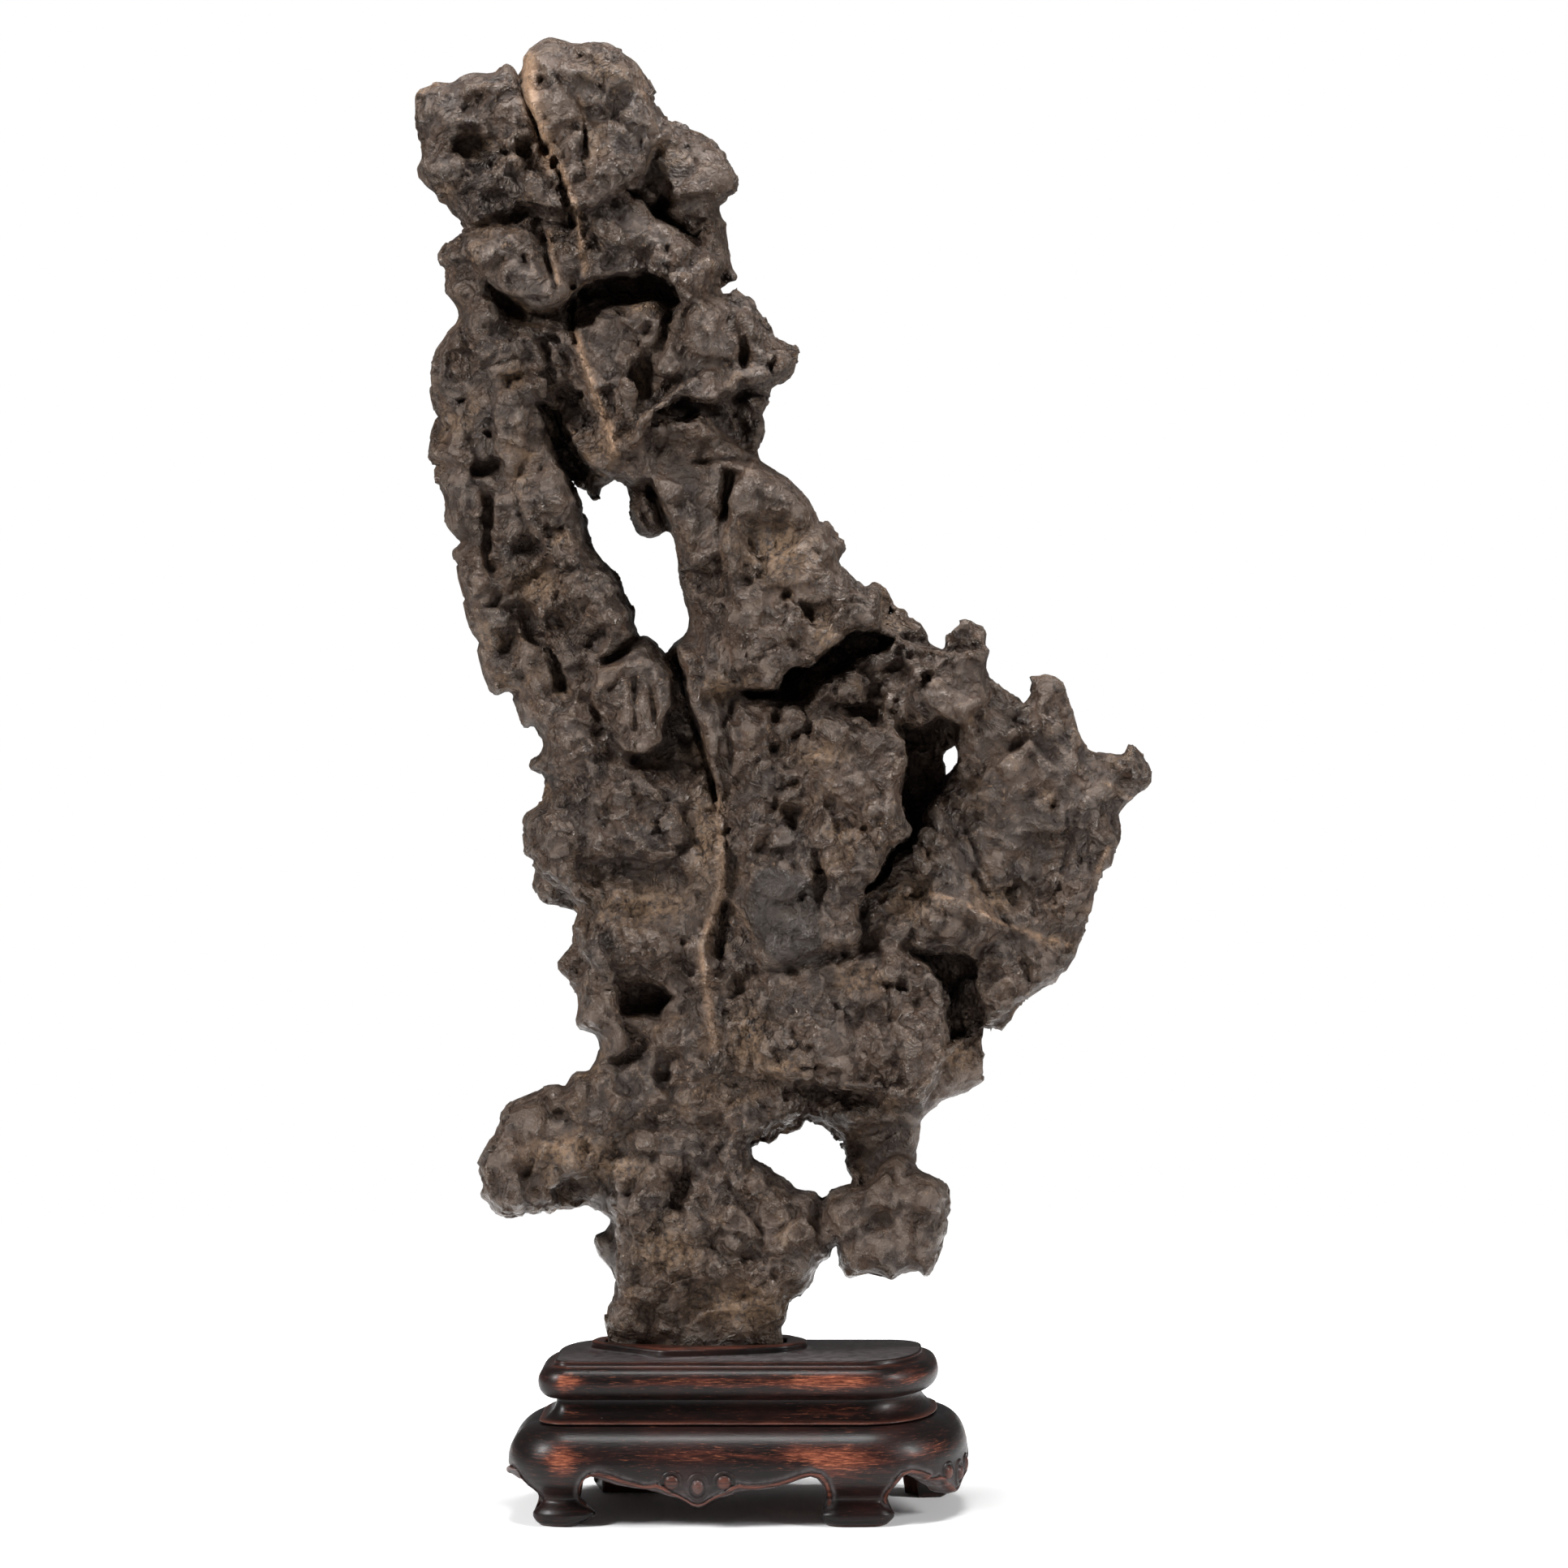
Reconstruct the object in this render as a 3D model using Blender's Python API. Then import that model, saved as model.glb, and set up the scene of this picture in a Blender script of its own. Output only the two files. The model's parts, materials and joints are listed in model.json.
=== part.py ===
"""Scholars rock on its carved wooden stand, as two closed solids in metres, +Z up, front along -Y.

rock   one natural stone: an outline with three openings, whose front and back are reliefs of ledges,
       lumps, caves and cracks, worked out as a field in space and skinned with one closed mesh.
stand  one block of wood: socket collar, flat top, torus, scotia, fillet, bulged apron with a beaded
       lower edge, curls and knobs, and four legs, all on rings that run round the same plan.

Both are laid out on a drawing sheet seen from the front: points are (across, down) from its top left
corner. Depths are counted towards the viewer from the middle plane, in the same unit.
"""
import math

import bmesh
import bpy
import numpy as np

# ---------------------------------------------------------------- driving dimensions
TOTAL_HEIGHT = 0.542                     # floor to the top of the stone, metres
SHEET_TOP, SHEET_FLOOR = 48.0, 1856.5    # rows of the stone's top and of the floor
UNIT = TOTAL_HEIGHT / (SHEET_FLOOR - SHEET_TOP)   # metres to one unit of the sheet
SHEET_MIDDLE = 966.5                     # column of the object's centre line
VIEW_DISTANCE = 4500.0                   # the sheet is drawn as seen from this far, in units
VIEW_ROW = 966.0                         # row that lies level with the viewer's eye
GAP = 1.0                                # clearance between stone and wood, 0.3 mm

STONE_CELL = 9.5                         # edge of a cell of the stone's field
STONE_TRIANGLES = 6300
SHEET_STEP = 4.0                         # spacing of the relief maps

STAND_MIDDLE = 915.0 - SHEET_MIDDLE      # the stand's own centre line, from the object's
STAND_COLUMNS = 96                       # points round each ring of the stand

# ---------------------------------------------------------------- the stone's outline and openings
STONE_OUTLINE = [
    (515, 116), (547, 102), (570, 94), (607, 91), (623, 77), (636, 90), (641, 103), (643, 88),
    (649, 68), (667, 51), (687, 49), (719, 54), (747, 53), (784, 77), (801, 110), (815, 143),
    (824, 153), (850, 160), (875, 172), (896, 193), (908, 217), (903, 238), (887, 252), (890, 269),
    (898, 294), (900, 322), (908, 342), (890, 354), (887, 361), (893, 365), (906, 357), (925, 371),
    (946, 400), (957, 422), (981, 427), (975, 458), (949, 477), (948, 500), (940, 511), (941, 531),
    (931, 556), (945, 575), (970, 589), (988, 605), (1004, 631), (1010, 644), (1023, 647),
    (1042, 665), (1035, 690), (1053, 712), (1067, 726), (1079, 719), (1098, 732), (1105, 751),
    (1126, 761), (1143, 778), (1143, 790), (1160, 802), (1173, 775), (1189, 761), (1214, 780),
    (1217, 810), (1218, 835), (1247, 853), (1259, 868), (1270, 851), (1268, 833), (1288, 831),
    (1307, 841), (1318, 866), (1329, 903), (1342, 923), (1368, 930), (1388, 927), (1393, 917),
    (1404, 928), (1421, 950), (1400, 977), (1378, 1004), (1380, 1032), (1371, 1068), (1354, 1080),
    (1342, 1133), (1323, 1180), (1301, 1210), (1270, 1224), (1240, 1256), (1228, 1269),
    (1213, 1264), (1213, 1323), (1193, 1340), (1160, 1358), (1137, 1377), (1129, 1419),
    (1131, 1439), (1159, 1450), (1169, 1477), (1161, 1526), (1146, 1571), (1123, 1566),
    (1097, 1578), (1070, 1568), (1041, 1573), (1033, 1550), (1030, 1534), (1022, 1552),
    (1008, 1560), (1000, 1580), (989, 1596), (972, 1605), (969, 1627), (960, 1645), (962, 1700),
    (748, 1700), (745, 1638), (757, 1601), (760, 1583), (739, 1547), (732, 1531), (739, 1518),
    (751, 1510), (744, 1496), (722, 1482), (712, 1488), (666, 1489), (632, 1500), (613, 1496),
    (601, 1480), (591, 1471), (589, 1443), (600, 1408), (612, 1391), (620, 1367), (647, 1349),
    (687, 1336), (696, 1341), (711, 1321), (727, 1320), (739, 1295), (734, 1275), (713, 1268),
    (710, 1251), (713, 1223), (689, 1187), (708, 1163), (708, 1133), (712, 1120), (683, 1113),
    (661, 1099), (657, 1083), (661, 1063), (648, 1051), (646, 1012), (668, 994), (674, 972),
    (665, 950), (653, 945), (668, 925), (667, 910), (655, 895), (646, 898), (633, 862),
    (626, 852), (611, 858), (589, 813), (588, 790), (575, 757), (564, 708), (557, 684), (571, 669),
    (550, 650), (549, 615), (540, 590), (546, 574), (530, 558), (532, 537), (541, 510), (530, 470),
    (535, 433), (563, 398), (567, 386), (550, 363), (547, 353), (553, 334), (540, 316), (551, 300),
    (575, 280), (556, 260), (541, 244), (516, 215), (520, 190), (513, 154),
]
GREAT_OPENING = [
    (703, 588), (720, 603), (733, 617), (738, 603), (743, 594), (766, 596), (774, 619), (781, 645),
    (798, 665), (821, 654), (831, 665), (838, 700), (842, 733), (850, 762), (845, 782), (826, 799),
    (820, 808), (808, 793), (793, 782), (785, 783), (781, 752), (768, 731), (757, 710), (727, 672),
    (725, 655), (714, 615),
]
LOWER_OPENING = [
    (927, 1409), (946, 1409), (958, 1393), (984, 1389), (991, 1376), (1013, 1384), (1039, 1407),
    (1041, 1426), (1053, 1459), (1027, 1466), (1014, 1478), (1004, 1469), (980, 1466), (962, 1449),
    (936, 1431),
]
WING_OPENING = [
    (1176, 918), (1182, 934), (1167, 958), (1158, 974), (1150, 970), (1158, 945), (1158, 930),
]

# ---------------------------------------------------------------- the stone's front relief
# Each patch is (name, depth towards the viewer, softness of its edge, corners), laid in this order.
BODY_DEPTH = 52.0
FRONT_PATCHES = [
    ("rear shoulder", 20, 7, [(800, 120), (870, 145), (920, 200), (915, 245), (886, 262), (890, 292),
                              (845, 286), (812, 264), (768, 232), (790, 170)]),
    ("rear fin", -8, 6, [(884, 256), (925, 256), (925, 352), (888, 352), (896, 310)]),
    ("crown block", 62, 6, [(500, 70), (641, 90), (650, 140), (672, 185), (690, 205), (700, 262),
                            (640, 254), (600, 264), (575, 284), (500, 250)]),
    ("crown dome", 70, 7, [(645, 30), (770, 30), (830, 110), (822, 170), (790, 215), (768, 232),
                           (715, 295), (700, 255), (690, 225), (672, 185), (650, 140), (641, 100)]),
    ("brow", 68, 6, [(530, 300), (575, 282), (640, 266), (700, 266), (768, 235), (845, 288),
                     (885, 312), (872, 350), (848, 380), (828, 352), (800, 338), (720, 354),
                     (699, 365), (669, 382), (639, 371), (600, 352), (555, 372), (530, 340)]),
    ("cave under brow", 4, 11, [(600, 354), (639, 373), (669, 384), (699, 368), (720, 356),
                                (800, 340), (830, 354), (834, 420), (820, 420), (806, 372),
                                (760, 374), (716, 400), (690, 412), (640, 398), (612, 384)]),
    ("cave slit", -26, 5, [(712, 358), (800, 337), (828, 352), (830, 376), (800, 364), (716, 374)]),
    ("box lump", 50, 6, [(714, 396), (760, 374), (808, 372), (820, 408), (795, 430), (778, 470),
                         (775, 530), (757, 545), (728, 440)]),
    ("ridge ledge", 66, 5, [(775, 548), (790, 515), (815, 490), (880, 455), (935, 432), (990, 415),
                            (990, 445), (955, 472), (900, 490), (850, 492), (815, 507), (800, 548)]),
    ("hollow under ledge", 10, 9, [(810, 505), (850, 492), (900, 492), (950, 476), (950, 545),
                                   (915, 552), (885, 524), (862, 514), (840, 524), (805, 532)]),
    ("left cleft", -14, 8, [(668, 496), (694, 505), (712, 560), (745, 590), (735, 622), (700, 592),
                            (682, 560)]),
    ("hanging lump", 0, 6, [(765, 590), (792, 596), (822, 650), (828, 664), (790, 675), (768, 640)]),
    ("right arm", 80, 10, [(932, 560), (985, 580), (1020, 640), (1068, 715), (1095, 748),
                           (1105, 785), (1085, 770), (1058, 773), (1032, 793), (998, 816),
                           (969, 833), (955, 851), (912, 853), (905, 800), (897, 700), (899, 640),
                           (908, 590)]),
    ("rear knob", -6, 4, [(1012, 636), (1055, 650), (1055, 690), (1036, 694), (1022, 670)]),
    ("rear lobe", 2, 5, [(1068, 708), (1110, 712), (1160, 765), (1150, 796), (1122, 790),
                         (1087, 768), (1094, 750)]),
    ("wing", 26, 8, [(1125, 796), (1150, 796), (1230, 740), (1440, 880), (1440, 1000), (1330, 1200),
                     (1230, 1290), (1200, 1240), (1185, 1180), (1120, 1170), (1085, 1130),
                     (1085, 1088), (1122, 1046), (1150, 980), (1176, 900), (1140, 886)]),
    ("bridge", 50, 8, [(985, 860), (1008, 834), (1048, 820), (1091, 794), (1215, 798), (1216, 862),
                       (1180, 890), (1112, 890), (1040, 884), (1000, 900)]),
    ("cave under arm", -22, 8, [(912, 854), (955, 852), (969, 834), (998, 817), (1032, 794),
                                (1058, 774), (1085, 771), (1105, 786), (1091, 793), (1048, 819),
                                (1008, 833), (985, 859), (955, 870), (925, 864)]),
    ("slot beside wing", -60, 5, [(1113, 893), (1112, 946), (1115, 1000), (1119, 1019), (1089, 1059),
                                  (1066, 1099), (1085, 1084), (1122, 1048), (1136, 1016),
                                  (1158, 975), (1178, 930), (1177, 896), (1160, 889)]),
    ("shield", 70, 6, [(735, 822), (790, 802), (822, 822), (829, 870), (818, 906), (790, 924),
                       (760, 926), (740, 880), (728, 845)]),
    ("recess by shield", 22, 6, [(822, 808), (842, 802), (858, 880), (864, 930), (800, 944),
                                 (772, 944), (778, 926), (818, 908), (831, 870)]),
    ("front body", 70, 12, [(985, 880), (1108, 893), (1108, 1010), (1080, 1060), (1050, 1160),
                            (940, 1190), (900, 1100), (925, 960)]),
    ("recess by slab", -40, 6, [(1125, 1173), (1185, 1174), (1198, 1195), (1206, 1230), (1212, 1262),
                                (1186, 1290), (1166, 1310), (1140, 1366), (1190, 1350), (1230, 1330),
                                (1230, 1270), (1166, 1290), (1158, 1208), (1142, 1186)]),
    ("rear post", -12, 6, [(1172, 1300), (1198, 1270), (1230, 1262), (1230, 1330), (1190, 1352),
                           (1130, 1385), (1100, 1362), (1140, 1364)]),
    ("lower slab", 86, 8, [(930, 1200), (1060, 1176), (1142, 1186), (1159, 1208), (1160, 1251),
                           (1171, 1290), (1169, 1318), (1141, 1363), (1109, 1358), (1072, 1345),
                           (1039, 1338), (985, 1334), (935, 1310)]),
    ("underside of slab", 20, 7, [(985, 1336), (1072, 1347), (1109, 1360), (1141, 1366), (1135, 1385),
                                  (1060, 1405), (1010, 1390), (985, 1372)]),
    ("stem", 8, 7, [(1030, 1392), (1140, 1380), (1140, 1430), (1092, 1434), (1058, 1456),
                    (1045, 1440)]),
    ("toe block", 58, 8, [(1020, 1490), (1060, 1458), (1095, 1438), (1132, 1432), (1180, 1455),
                          (1175, 1590), (1030, 1590), (1034, 1530)]),
    ("left rear flap", -4, 5, [(640, 1050), (660, 1064), (700, 1108), (714, 1124), (640, 1130)]),
    ("left rear tooth", -4, 5, [(680, 1160), (708, 1164), (722, 1190), (716, 1226), (680, 1220)]),
    ("lower left cave", 6, 8, [(752, 1216), (772, 1205), (792, 1208), (824, 1228), (812, 1248),
                               (762, 1248)]),
    ("root lobe", 62, 10, [(570, 1380), (640, 1330), (740, 1300), (760, 1350), (722, 1425),
                           (690, 1460), (670, 1510), (570, 1510)]),
    ("undercut by root", 26, 8, [(688, 1464), (716, 1438), (748, 1436), (740, 1486), (690, 1494)]),
    ("rear toe", 2, 5, [(725, 1500), (764, 1496), (772, 1540), (756, 1572), (725, 1560)]),
]
# Each crack is (depth, half width, points).
FRONT_CRACKS = [
    (46, 6, [(641, 104), (653, 135), (673, 182), (692, 226), (712, 282)]),
    (34, 7, [(768, 232), (792, 249), (812, 262), (845, 284), (868, 298)]),
    (44, 11, [(680, 505), (700, 545), (715, 580)]),
    (38, 7, [(899, 580), (896, 640)]),
    (40, 6, [(836, 815), (845, 865), (859, 900), (872, 940), (882, 983)]),
    (26, 9, [(894, 1110), (892, 1175)]),
    (30, 6, [(916, 420), (918, 456)]),
]
# Each swelling is (across, down, half width, half height, height); hollows have a height below zero.
FRONT_SWELLINGS = [
    (575, 190, 34, 30, -14), (728, 95, 60, 50, 12), (560, 330, 26, 26, -20), (600, 430, 46, 40, 14),
    (545, 470, 22, 34, 10), (636, 470, 13, 16, -28), (630, 540, 36, 50, 14), (594, 575, 22, 18, -22),
    (592, 625, 18, 22, -16), (670, 620, 50, 50, 12), (610, 720, 44, 40, 12), (620, 795, 40, 40, 16),
    (680, 770, 24, 26, -22), (735, 790, 30, 20, -26), (700, 700, 50, 40, 8), (905, 405, 46, 36, 14),
    (870, 545, 34, 24, 16), (855, 640, 30, 60, 10), (968, 640, 60, 40, 14), (960, 770, 40, 50, 8),
    (1050, 850, 40, 26, 12), (1190, 800, 24, 40, 10), (1290, 880, 26, 50, 8), (1230, 980, 60, 60, 8),
    (1290, 1060, 40, 70, -6), (1230, 1150, 70, 24, 12), (968, 1006, 18, 20, -24),
    (960, 930, 50, 50, 8), (700, 1030, 46, 36, 12), (770, 1085, 70, 26, -18), (770, 1165, 70, 34, 14),
    (905, 1270, 40, 60, 8), (830, 1330, 30, 30, -18), (780, 1460, 56, 44, 12), (820, 1470, 14, 26, -16),
    (640, 1420, 46, 50, 10), (920, 1500, 70, 60, 10), (1100, 1510, 44, 44, 10), (860, 1600, 90, 18, -14),
]
# The back is quieter: swellings and hollows on one plane, as water leaves the far side.
BACK_DEPTH = 62.0
BACK_PATCHES = [
    ("crown", 50, 50, [(480, 20), (940, 20), (940, 330), (480, 330)]),
    ("left arm", 52, 30, [(500, 420), (690, 420), (790, 760), (700, 860), (560, 860)]),
    ("right arm", 74, 34, [(830, 540), (960, 560), (1090, 740), (1000, 860), (850, 800)]),
    ("wing", 28, 36, [(1150, 700), (1450, 850), (1450, 1060), (1300, 1300), (1180, 1300)]),
    ("trunk", 84, 60, [(700, 900), (1080, 900), (1120, 1300), (900, 1420), (720, 1300)]),
    ("toe", 44, 24, [(1020, 1440), (1180, 1440), (1180, 1600), (1020, 1600)]),
    ("root", 44, 30, [(560, 1320), (720, 1320), (720, 1520), (560, 1520)]),
]
BACK_SWELLINGS = [
    (600, 190, 70, 70, 16), (740, 150, 80, 80, 22), (870, 220, 50, 50, -26), (640, 330, 90, 40, -22),
    (760, 420, 90, 60, 18), (600, 480, 60, 90, 14), (900, 470, 60, 60, -18), (650, 640, 80, 80, 18),
    (960, 680, 90, 90, 26), (620, 800, 60, 70, -10), (820, 860, 90, 60, -24), (760, 980, 90, 90, 22),
    (980, 900, 80, 60, 16), (1060, 800, 50, 40, -26), (1220, 860, 60, 60, -18),
    (1280, 980, 110, 110, -30), (1240, 1150, 90, 60, -22), (960, 1080, 110, 90, 20),
    (800, 1200, 90, 60, -26), (1100, 1250, 90, 80, 16), (900, 1320, 90, 70, 18),
    (650, 1420, 70, 70, -16), (820, 1450, 90, 80, 20), (1100, 1500, 70, 70, -10), (860, 1560, 90, 50, 8),
]
OUTLINE_ROUNDING = 34.0                  # how far in from the outline the faces turn over
DEPTH_SCALE = 1.22                       # how much deeper the stone is than the depths listed
THINNEST = 22.0                          # least thickness left between front and back
EDGE_HALF_THICKNESS = 10.0               # half thickness left at the outline itself
FOOT_TAPER_ROWS = (1560.0, 1640.0)       # between these rows the column narrows into the socket
FOOT_BOTTOM = 184.0                      # height of the flat the stone stands on, inside the socket
FOOT_BLEND = (204.0, 226.0)              # heights between which the column turns into the foot's plan
# The foot's plan, as (across from the stand's centre line, back from the middle plane).
FOOT_PLAN = [
    (-166, -6), (-140, -18), (-60, -30), (-14, -30), (38, -24), (50, -10), (50, 20), (20, 44),
    (-60, 52), (-130, 44), (-164, 16),
]

# ---------------------------------------------------------------- the stand
# Corners of the flat top, as (across, back, corner radius across, corner radius back).
TOP_CORNERS = [(-225, -88, 15, 15), (220, -88, 78, 112), (220, 84, 36, 34), (-224, 84, 52, 90)]
COLLAR_PLAN = [
    (-188, -10), (-150, -34), (-118, -47), (-65, -57), (0, -50), (42, -33), (74, -10), (79, 8),
    (58, 40), (8, 64), (-76, 70), (-150, 54), (-186, 16),
]
COLLAR_TOP, STAND_TOP = 200.5, 192.5
SOCKET_FLOOR = FOOT_BOTTOM - GAP
# Mouldings from the top down, as (outset from the flat top's edge, height).
MOULDINGS = [
    (0.0, 192.5), (3.0, 186.0), (14.0, 182.0), (22.0, 165.0), (13.0, 147.0), (1.0, 141.0), (0.0, 130.0),
    (8.0, 119.0), (20.0, 116.0), (21.0, 108.0), (38.0, 101.0), (54.0, 86.0), (58.0, 72.0),
]
LEG_PROFILE = [(54.0, 58.0), (33.0, 43.0), (15.0, 29.0), (23.0, 25.0), (28.0, 13.0), (26.0, 0.0)]
APRON_PROFILE = [(58.0, 0.80), (57.0, 0.55), (55.0, 0.36), (60.0, 0.22), (57.0, 0.08), (54.0, 0.0)]
LEG_PLACES = [(-205, -95), (141, -105), (229, 80), (-143, 80)]   # front left, then round to the right
# The apron's lower edge, as (distance along it from the middle of a leg, height).
APRON_EDGE = [
    (0, 0), (41, 0), (45, 26), (50, 44), (58, 59), (68, 64), (84, 60), (105, 52), (130, 45), (400, 44),
]
# The carved ornament in the middle of each apron hangs lower: (distance from the middle, drop).
ORNAMENT_DROP = [(0, 16), (10, 14), (18, 2), (30, 8), (44, 4), (58, 0)]
ORNAMENT_OUTSET = 7.0                    # how far its middle knob stands out
APRON_THICKNESS = 30.0
LEG_THICKNESS = 52.0
CEILING = 84.0                           # underside of the block, between the legs


# ---------------------------------------------------------------- scene and materials
def clear_scene():
    for item in list(bpy.data.objects):
        bpy.data.objects.remove(item, do_unlink=True)


def make_material(name, colour, roughness):
    material = bpy.data.materials.new(name)
    material.use_nodes = True
    shader = material.node_tree.nodes["Principled BSDF"]
    shader.inputs["Base Color"].default_value = (*colour, 1.0)
    shader.inputs["Roughness"].default_value = roughness
    material.diffuse_color = (*colour, 1.0)
    return material


def add_object(name, points, faces, material):
    mesh = bpy.data.meshes.new(name)
    mesh.from_pydata(points.tolist(), [], [tuple(face) for face in faces.tolist()])
    mesh.validate()
    mesh.materials.append(material)
    item = bpy.data.objects.new(name, mesh)
    bpy.context.collection.objects.link(item)
    return item


# ---------------------------------------------------------------- maps on the sheet
def signed_distance(corners, across, down):
    """Distance from each sheet point to a closed outline, negative inside it."""
    nearest = np.full(across.shape, 1e9)
    inside = np.zeros(across.shape, bool)
    for (x0, y0), (x1, y1) in zip(corners, corners[1:] + corners[:1]):
        ex, ey = x1 - x0, y1 - y0
        along = ((across - x0) * ex + (down - y0) * ey) / (ex * ex + ey * ey)
        along = np.clip(along, 0.0, 1.0)
        nearest = np.minimum(nearest, np.hypot(across - x0 - along * ex, down - y0 - along * ey))
        if y0 != y1:
            crosses = (y0 > down) != (y1 > down)
            inside ^= crosses & (across < x0 + (down - y0) * ex / ey)
    return np.where(inside, -nearest, nearest)


def distance_to_line(points, across, down):
    """Distance from each sheet point to an open line of points."""
    nearest = np.full(across.shape, 1e9)
    for (x0, y0), (x1, y1) in zip(points, points[1:]):
        ex, ey = x1 - x0, y1 - y0
        along = ((across - x0) * ex + (down - y0) * ey) / (ex * ex + ey * ey)
        along = np.clip(along, 0.0, 1.0)
        nearest = np.minimum(nearest, np.hypot(across - x0 - along * ex, down - y0 - along * ey))
    return nearest


def lattice_noise(x, y, z, seed):
    """Smooth noise between -1 and 1: random values on a whole-number lattice, blended in between."""
    table = np.random.default_rng(seed).uniform(-1.0, 1.0, (32, 32, 32))
    cell, blend = [], []
    for value in (x, y, z):
        low = np.floor(value)
        part = value - low
        cell.append(low.astype(int))
        blend.append(part * part * (3.0 - 2.0 * part))
    total = 0.0
    for i in (0, 1):
        for j in (0, 1):
            for k in (0, 1):
                weight = ((blend[0] if i else 1 - blend[0]) * (blend[1] if j else 1 - blend[1])
                          * (blend[2] if k else 1 - blend[2]))
                total = total + weight * table[(cell[0] + i) % 32, (cell[1] + j) % 32,
                                               (cell[2] + k) % 32]
    return total


def bowls(across, down, size, seed):
    """Shallow bowls side by side with ridges between them: 0 at a bowl's middle, about 1 on a ridge."""
    spots = np.random.default_rng(seed).uniform(0.1, 0.9, (64, 64, 2))
    u, v = across / size, down / size
    i, j = np.floor(u).astype(int), np.floor(v).astype(int)
    nearest = np.full(across.shape, 9.0)
    for di in (-1, 0, 1):
        for dj in (-1, 0, 1):
            spot = spots[(i + di) % 64, (j + dj) % 64]
            away = (u - i - di - spot[..., 0]) ** 2 + (v - j - dj - spot[..., 1]) ** 2
            nearest = np.minimum(nearest, away)
    return np.minimum(nearest * 2.0, 1.0)


def lay_patches(relief, patches, across, down):
    for _, depth, softness, corners in patches:
        away = signed_distance(corners, across, down)
        share = np.clip(0.5 - away / (2.0 * softness), 0.0, 1.0)
        share = share * share * (3.0 - 2.0 * share)
        relief = relief * (1.0 - share) + depth * share
    return relief


def add_swellings(relief, swellings, across, down):
    for x, y, half_width, half_height, height in swellings:
        away = ((across - x) / half_width) ** 2 + ((down - y) / half_height) ** 2
        relief = relief + height * np.exp(-away)
    return relief


def stone_maps():
    """Signed distance to the outline, and the depth of the front and back faces, on one grid."""
    columns = np.arange(490.0, 1446.0, SHEET_STEP)
    rows = np.arange(24.0, 1712.0, SHEET_STEP)
    across, down = np.meshgrid(columns, rows, indexing="ij")
    edge = signed_distance(STONE_OUTLINE, across, down)
    for opening in (GREAT_OPENING, LOWER_OPENING, WING_OPENING):
        edge = np.maximum(edge, -signed_distance(opening, across, down))

    front = np.full(across.shape, BODY_DEPTH)
    front = lay_patches(front, FRONT_PATCHES, across, down)
    front = add_swellings(front, FRONT_SWELLINGS, across, down)
    for depth, half_width, points in FRONT_CRACKS:
        front = front - depth * np.exp(-(distance_to_line(points, across, down) / half_width) ** 2)
    front = front + 7.0 * lattice_noise(across / 46.0, down / 46.0, across * 0.0, 3)
    front = front + 9.0 * bowls(across, down, 42.0, 21) - 4.0

    back = lay_patches(np.full(across.shape, BACK_DEPTH), BACK_PATCHES, across, down)
    back = add_swellings(back, BACK_SWELLINGS, across, down)
    back = back + 9.0 * lattice_noise(across / 60.0, down / 60.0, across * 0.0 + 7.5, 5)
    back = back + 11.0 * bowls(across + 900.0, down, 58.0, 22) - 5.0

    front, back = front * DEPTH_SCALE, back * DEPTH_SCALE
    taper = np.clip((down - FOOT_TAPER_ROWS[0]) / (FOOT_TAPER_ROWS[1] - FOOT_TAPER_ROWS[0]), 0.0, 1.0)
    front = front * (1.0 - taper) + 34.0 * taper
    back = back * (1.0 - taper) + 52.0 * taper

    # Both faces turn over towards the outline, as a worn edge does.
    turn = np.clip(-edge / OUTLINE_ROUNDING, 0.0, 1.0)
    turn = np.sqrt(1.0 - (1.0 - turn) ** 2)
    front = np.maximum(front, THINNEST - back)
    middle = 0.5 * (front - back)
    half = 0.5 * (front + back)
    half = EDGE_HALF_THICKNESS + (half - EDGE_HALF_THICKNESS) * turn
    return columns, rows, edge, middle + half, half - middle


def read_map(table, columns, rows, across, down):
    """Value of a sheet map at any points, blended between its four nearest."""
    u = np.clip((across - columns[0]) / SHEET_STEP, 0.0, len(columns) - 1.001)
    v = np.clip((down - rows[0]) / SHEET_STEP, 0.0, len(rows) - 1.001)
    i, j = u.astype(int), v.astype(int)
    u, v = u - i, v - j
    return ((table[i, j] * (1 - u) + table[i + 1, j] * u) * (1 - v)
            + (table[i, j + 1] * (1 - u) + table[i + 1, j + 1] * u) * v)


def steepness(table):
    """Length of the vector (1, slope across, slope down), which turns a height gap into a distance."""
    slope_u, slope_v = np.gradient(table, SHEET_STEP)
    return np.sqrt(1.0 + slope_u ** 2 + slope_v ** 2)


# ---------------------------------------------------------------- the stone
def stone_field(x, y, z, maps):
    """Negative inside the stone. x, y, z are units from the object's centre line, back and up."""
    columns, rows, edge, front, back, front_steep, back_steep = maps
    scale = 1.0 + y / VIEW_DISTANCE
    eye = SHEET_FLOOR - VIEW_ROW
    across = SHEET_MIDDLE + x / scale
    down = VIEW_ROW + (eye - z) / scale
    outside = read_map(edge, columns, rows, across, down)
    before = (-y - read_map(front, columns, rows, across, down))
    before = before / read_map(front_steep, columns, rows, across, down)
    behind = (y - read_map(back, columns, rows, across, down))
    behind = behind / read_map(back_steep, columns, rows, across, down)
    shape = np.maximum(np.maximum(outside, before), behind)
    shape = shape + 3.0 * lattice_noise(x / 34.0, y / 34.0, z / 34.0, 11)

    # The foot is cut to its own plan, and its underside is flat.
    foot = signed_distance([(a + STAND_MIDDLE, b) for a, b in FOOT_PLAN], x, y)
    low = np.clip((FOOT_BLEND[1] - z) / (FOOT_BLEND[1] - FOOT_BLEND[0]), 0.0, 1.0)
    shape = shape * (1.0 - low) + foot * low
    return np.maximum(shape, FOOT_BOTTOM - z)


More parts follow.
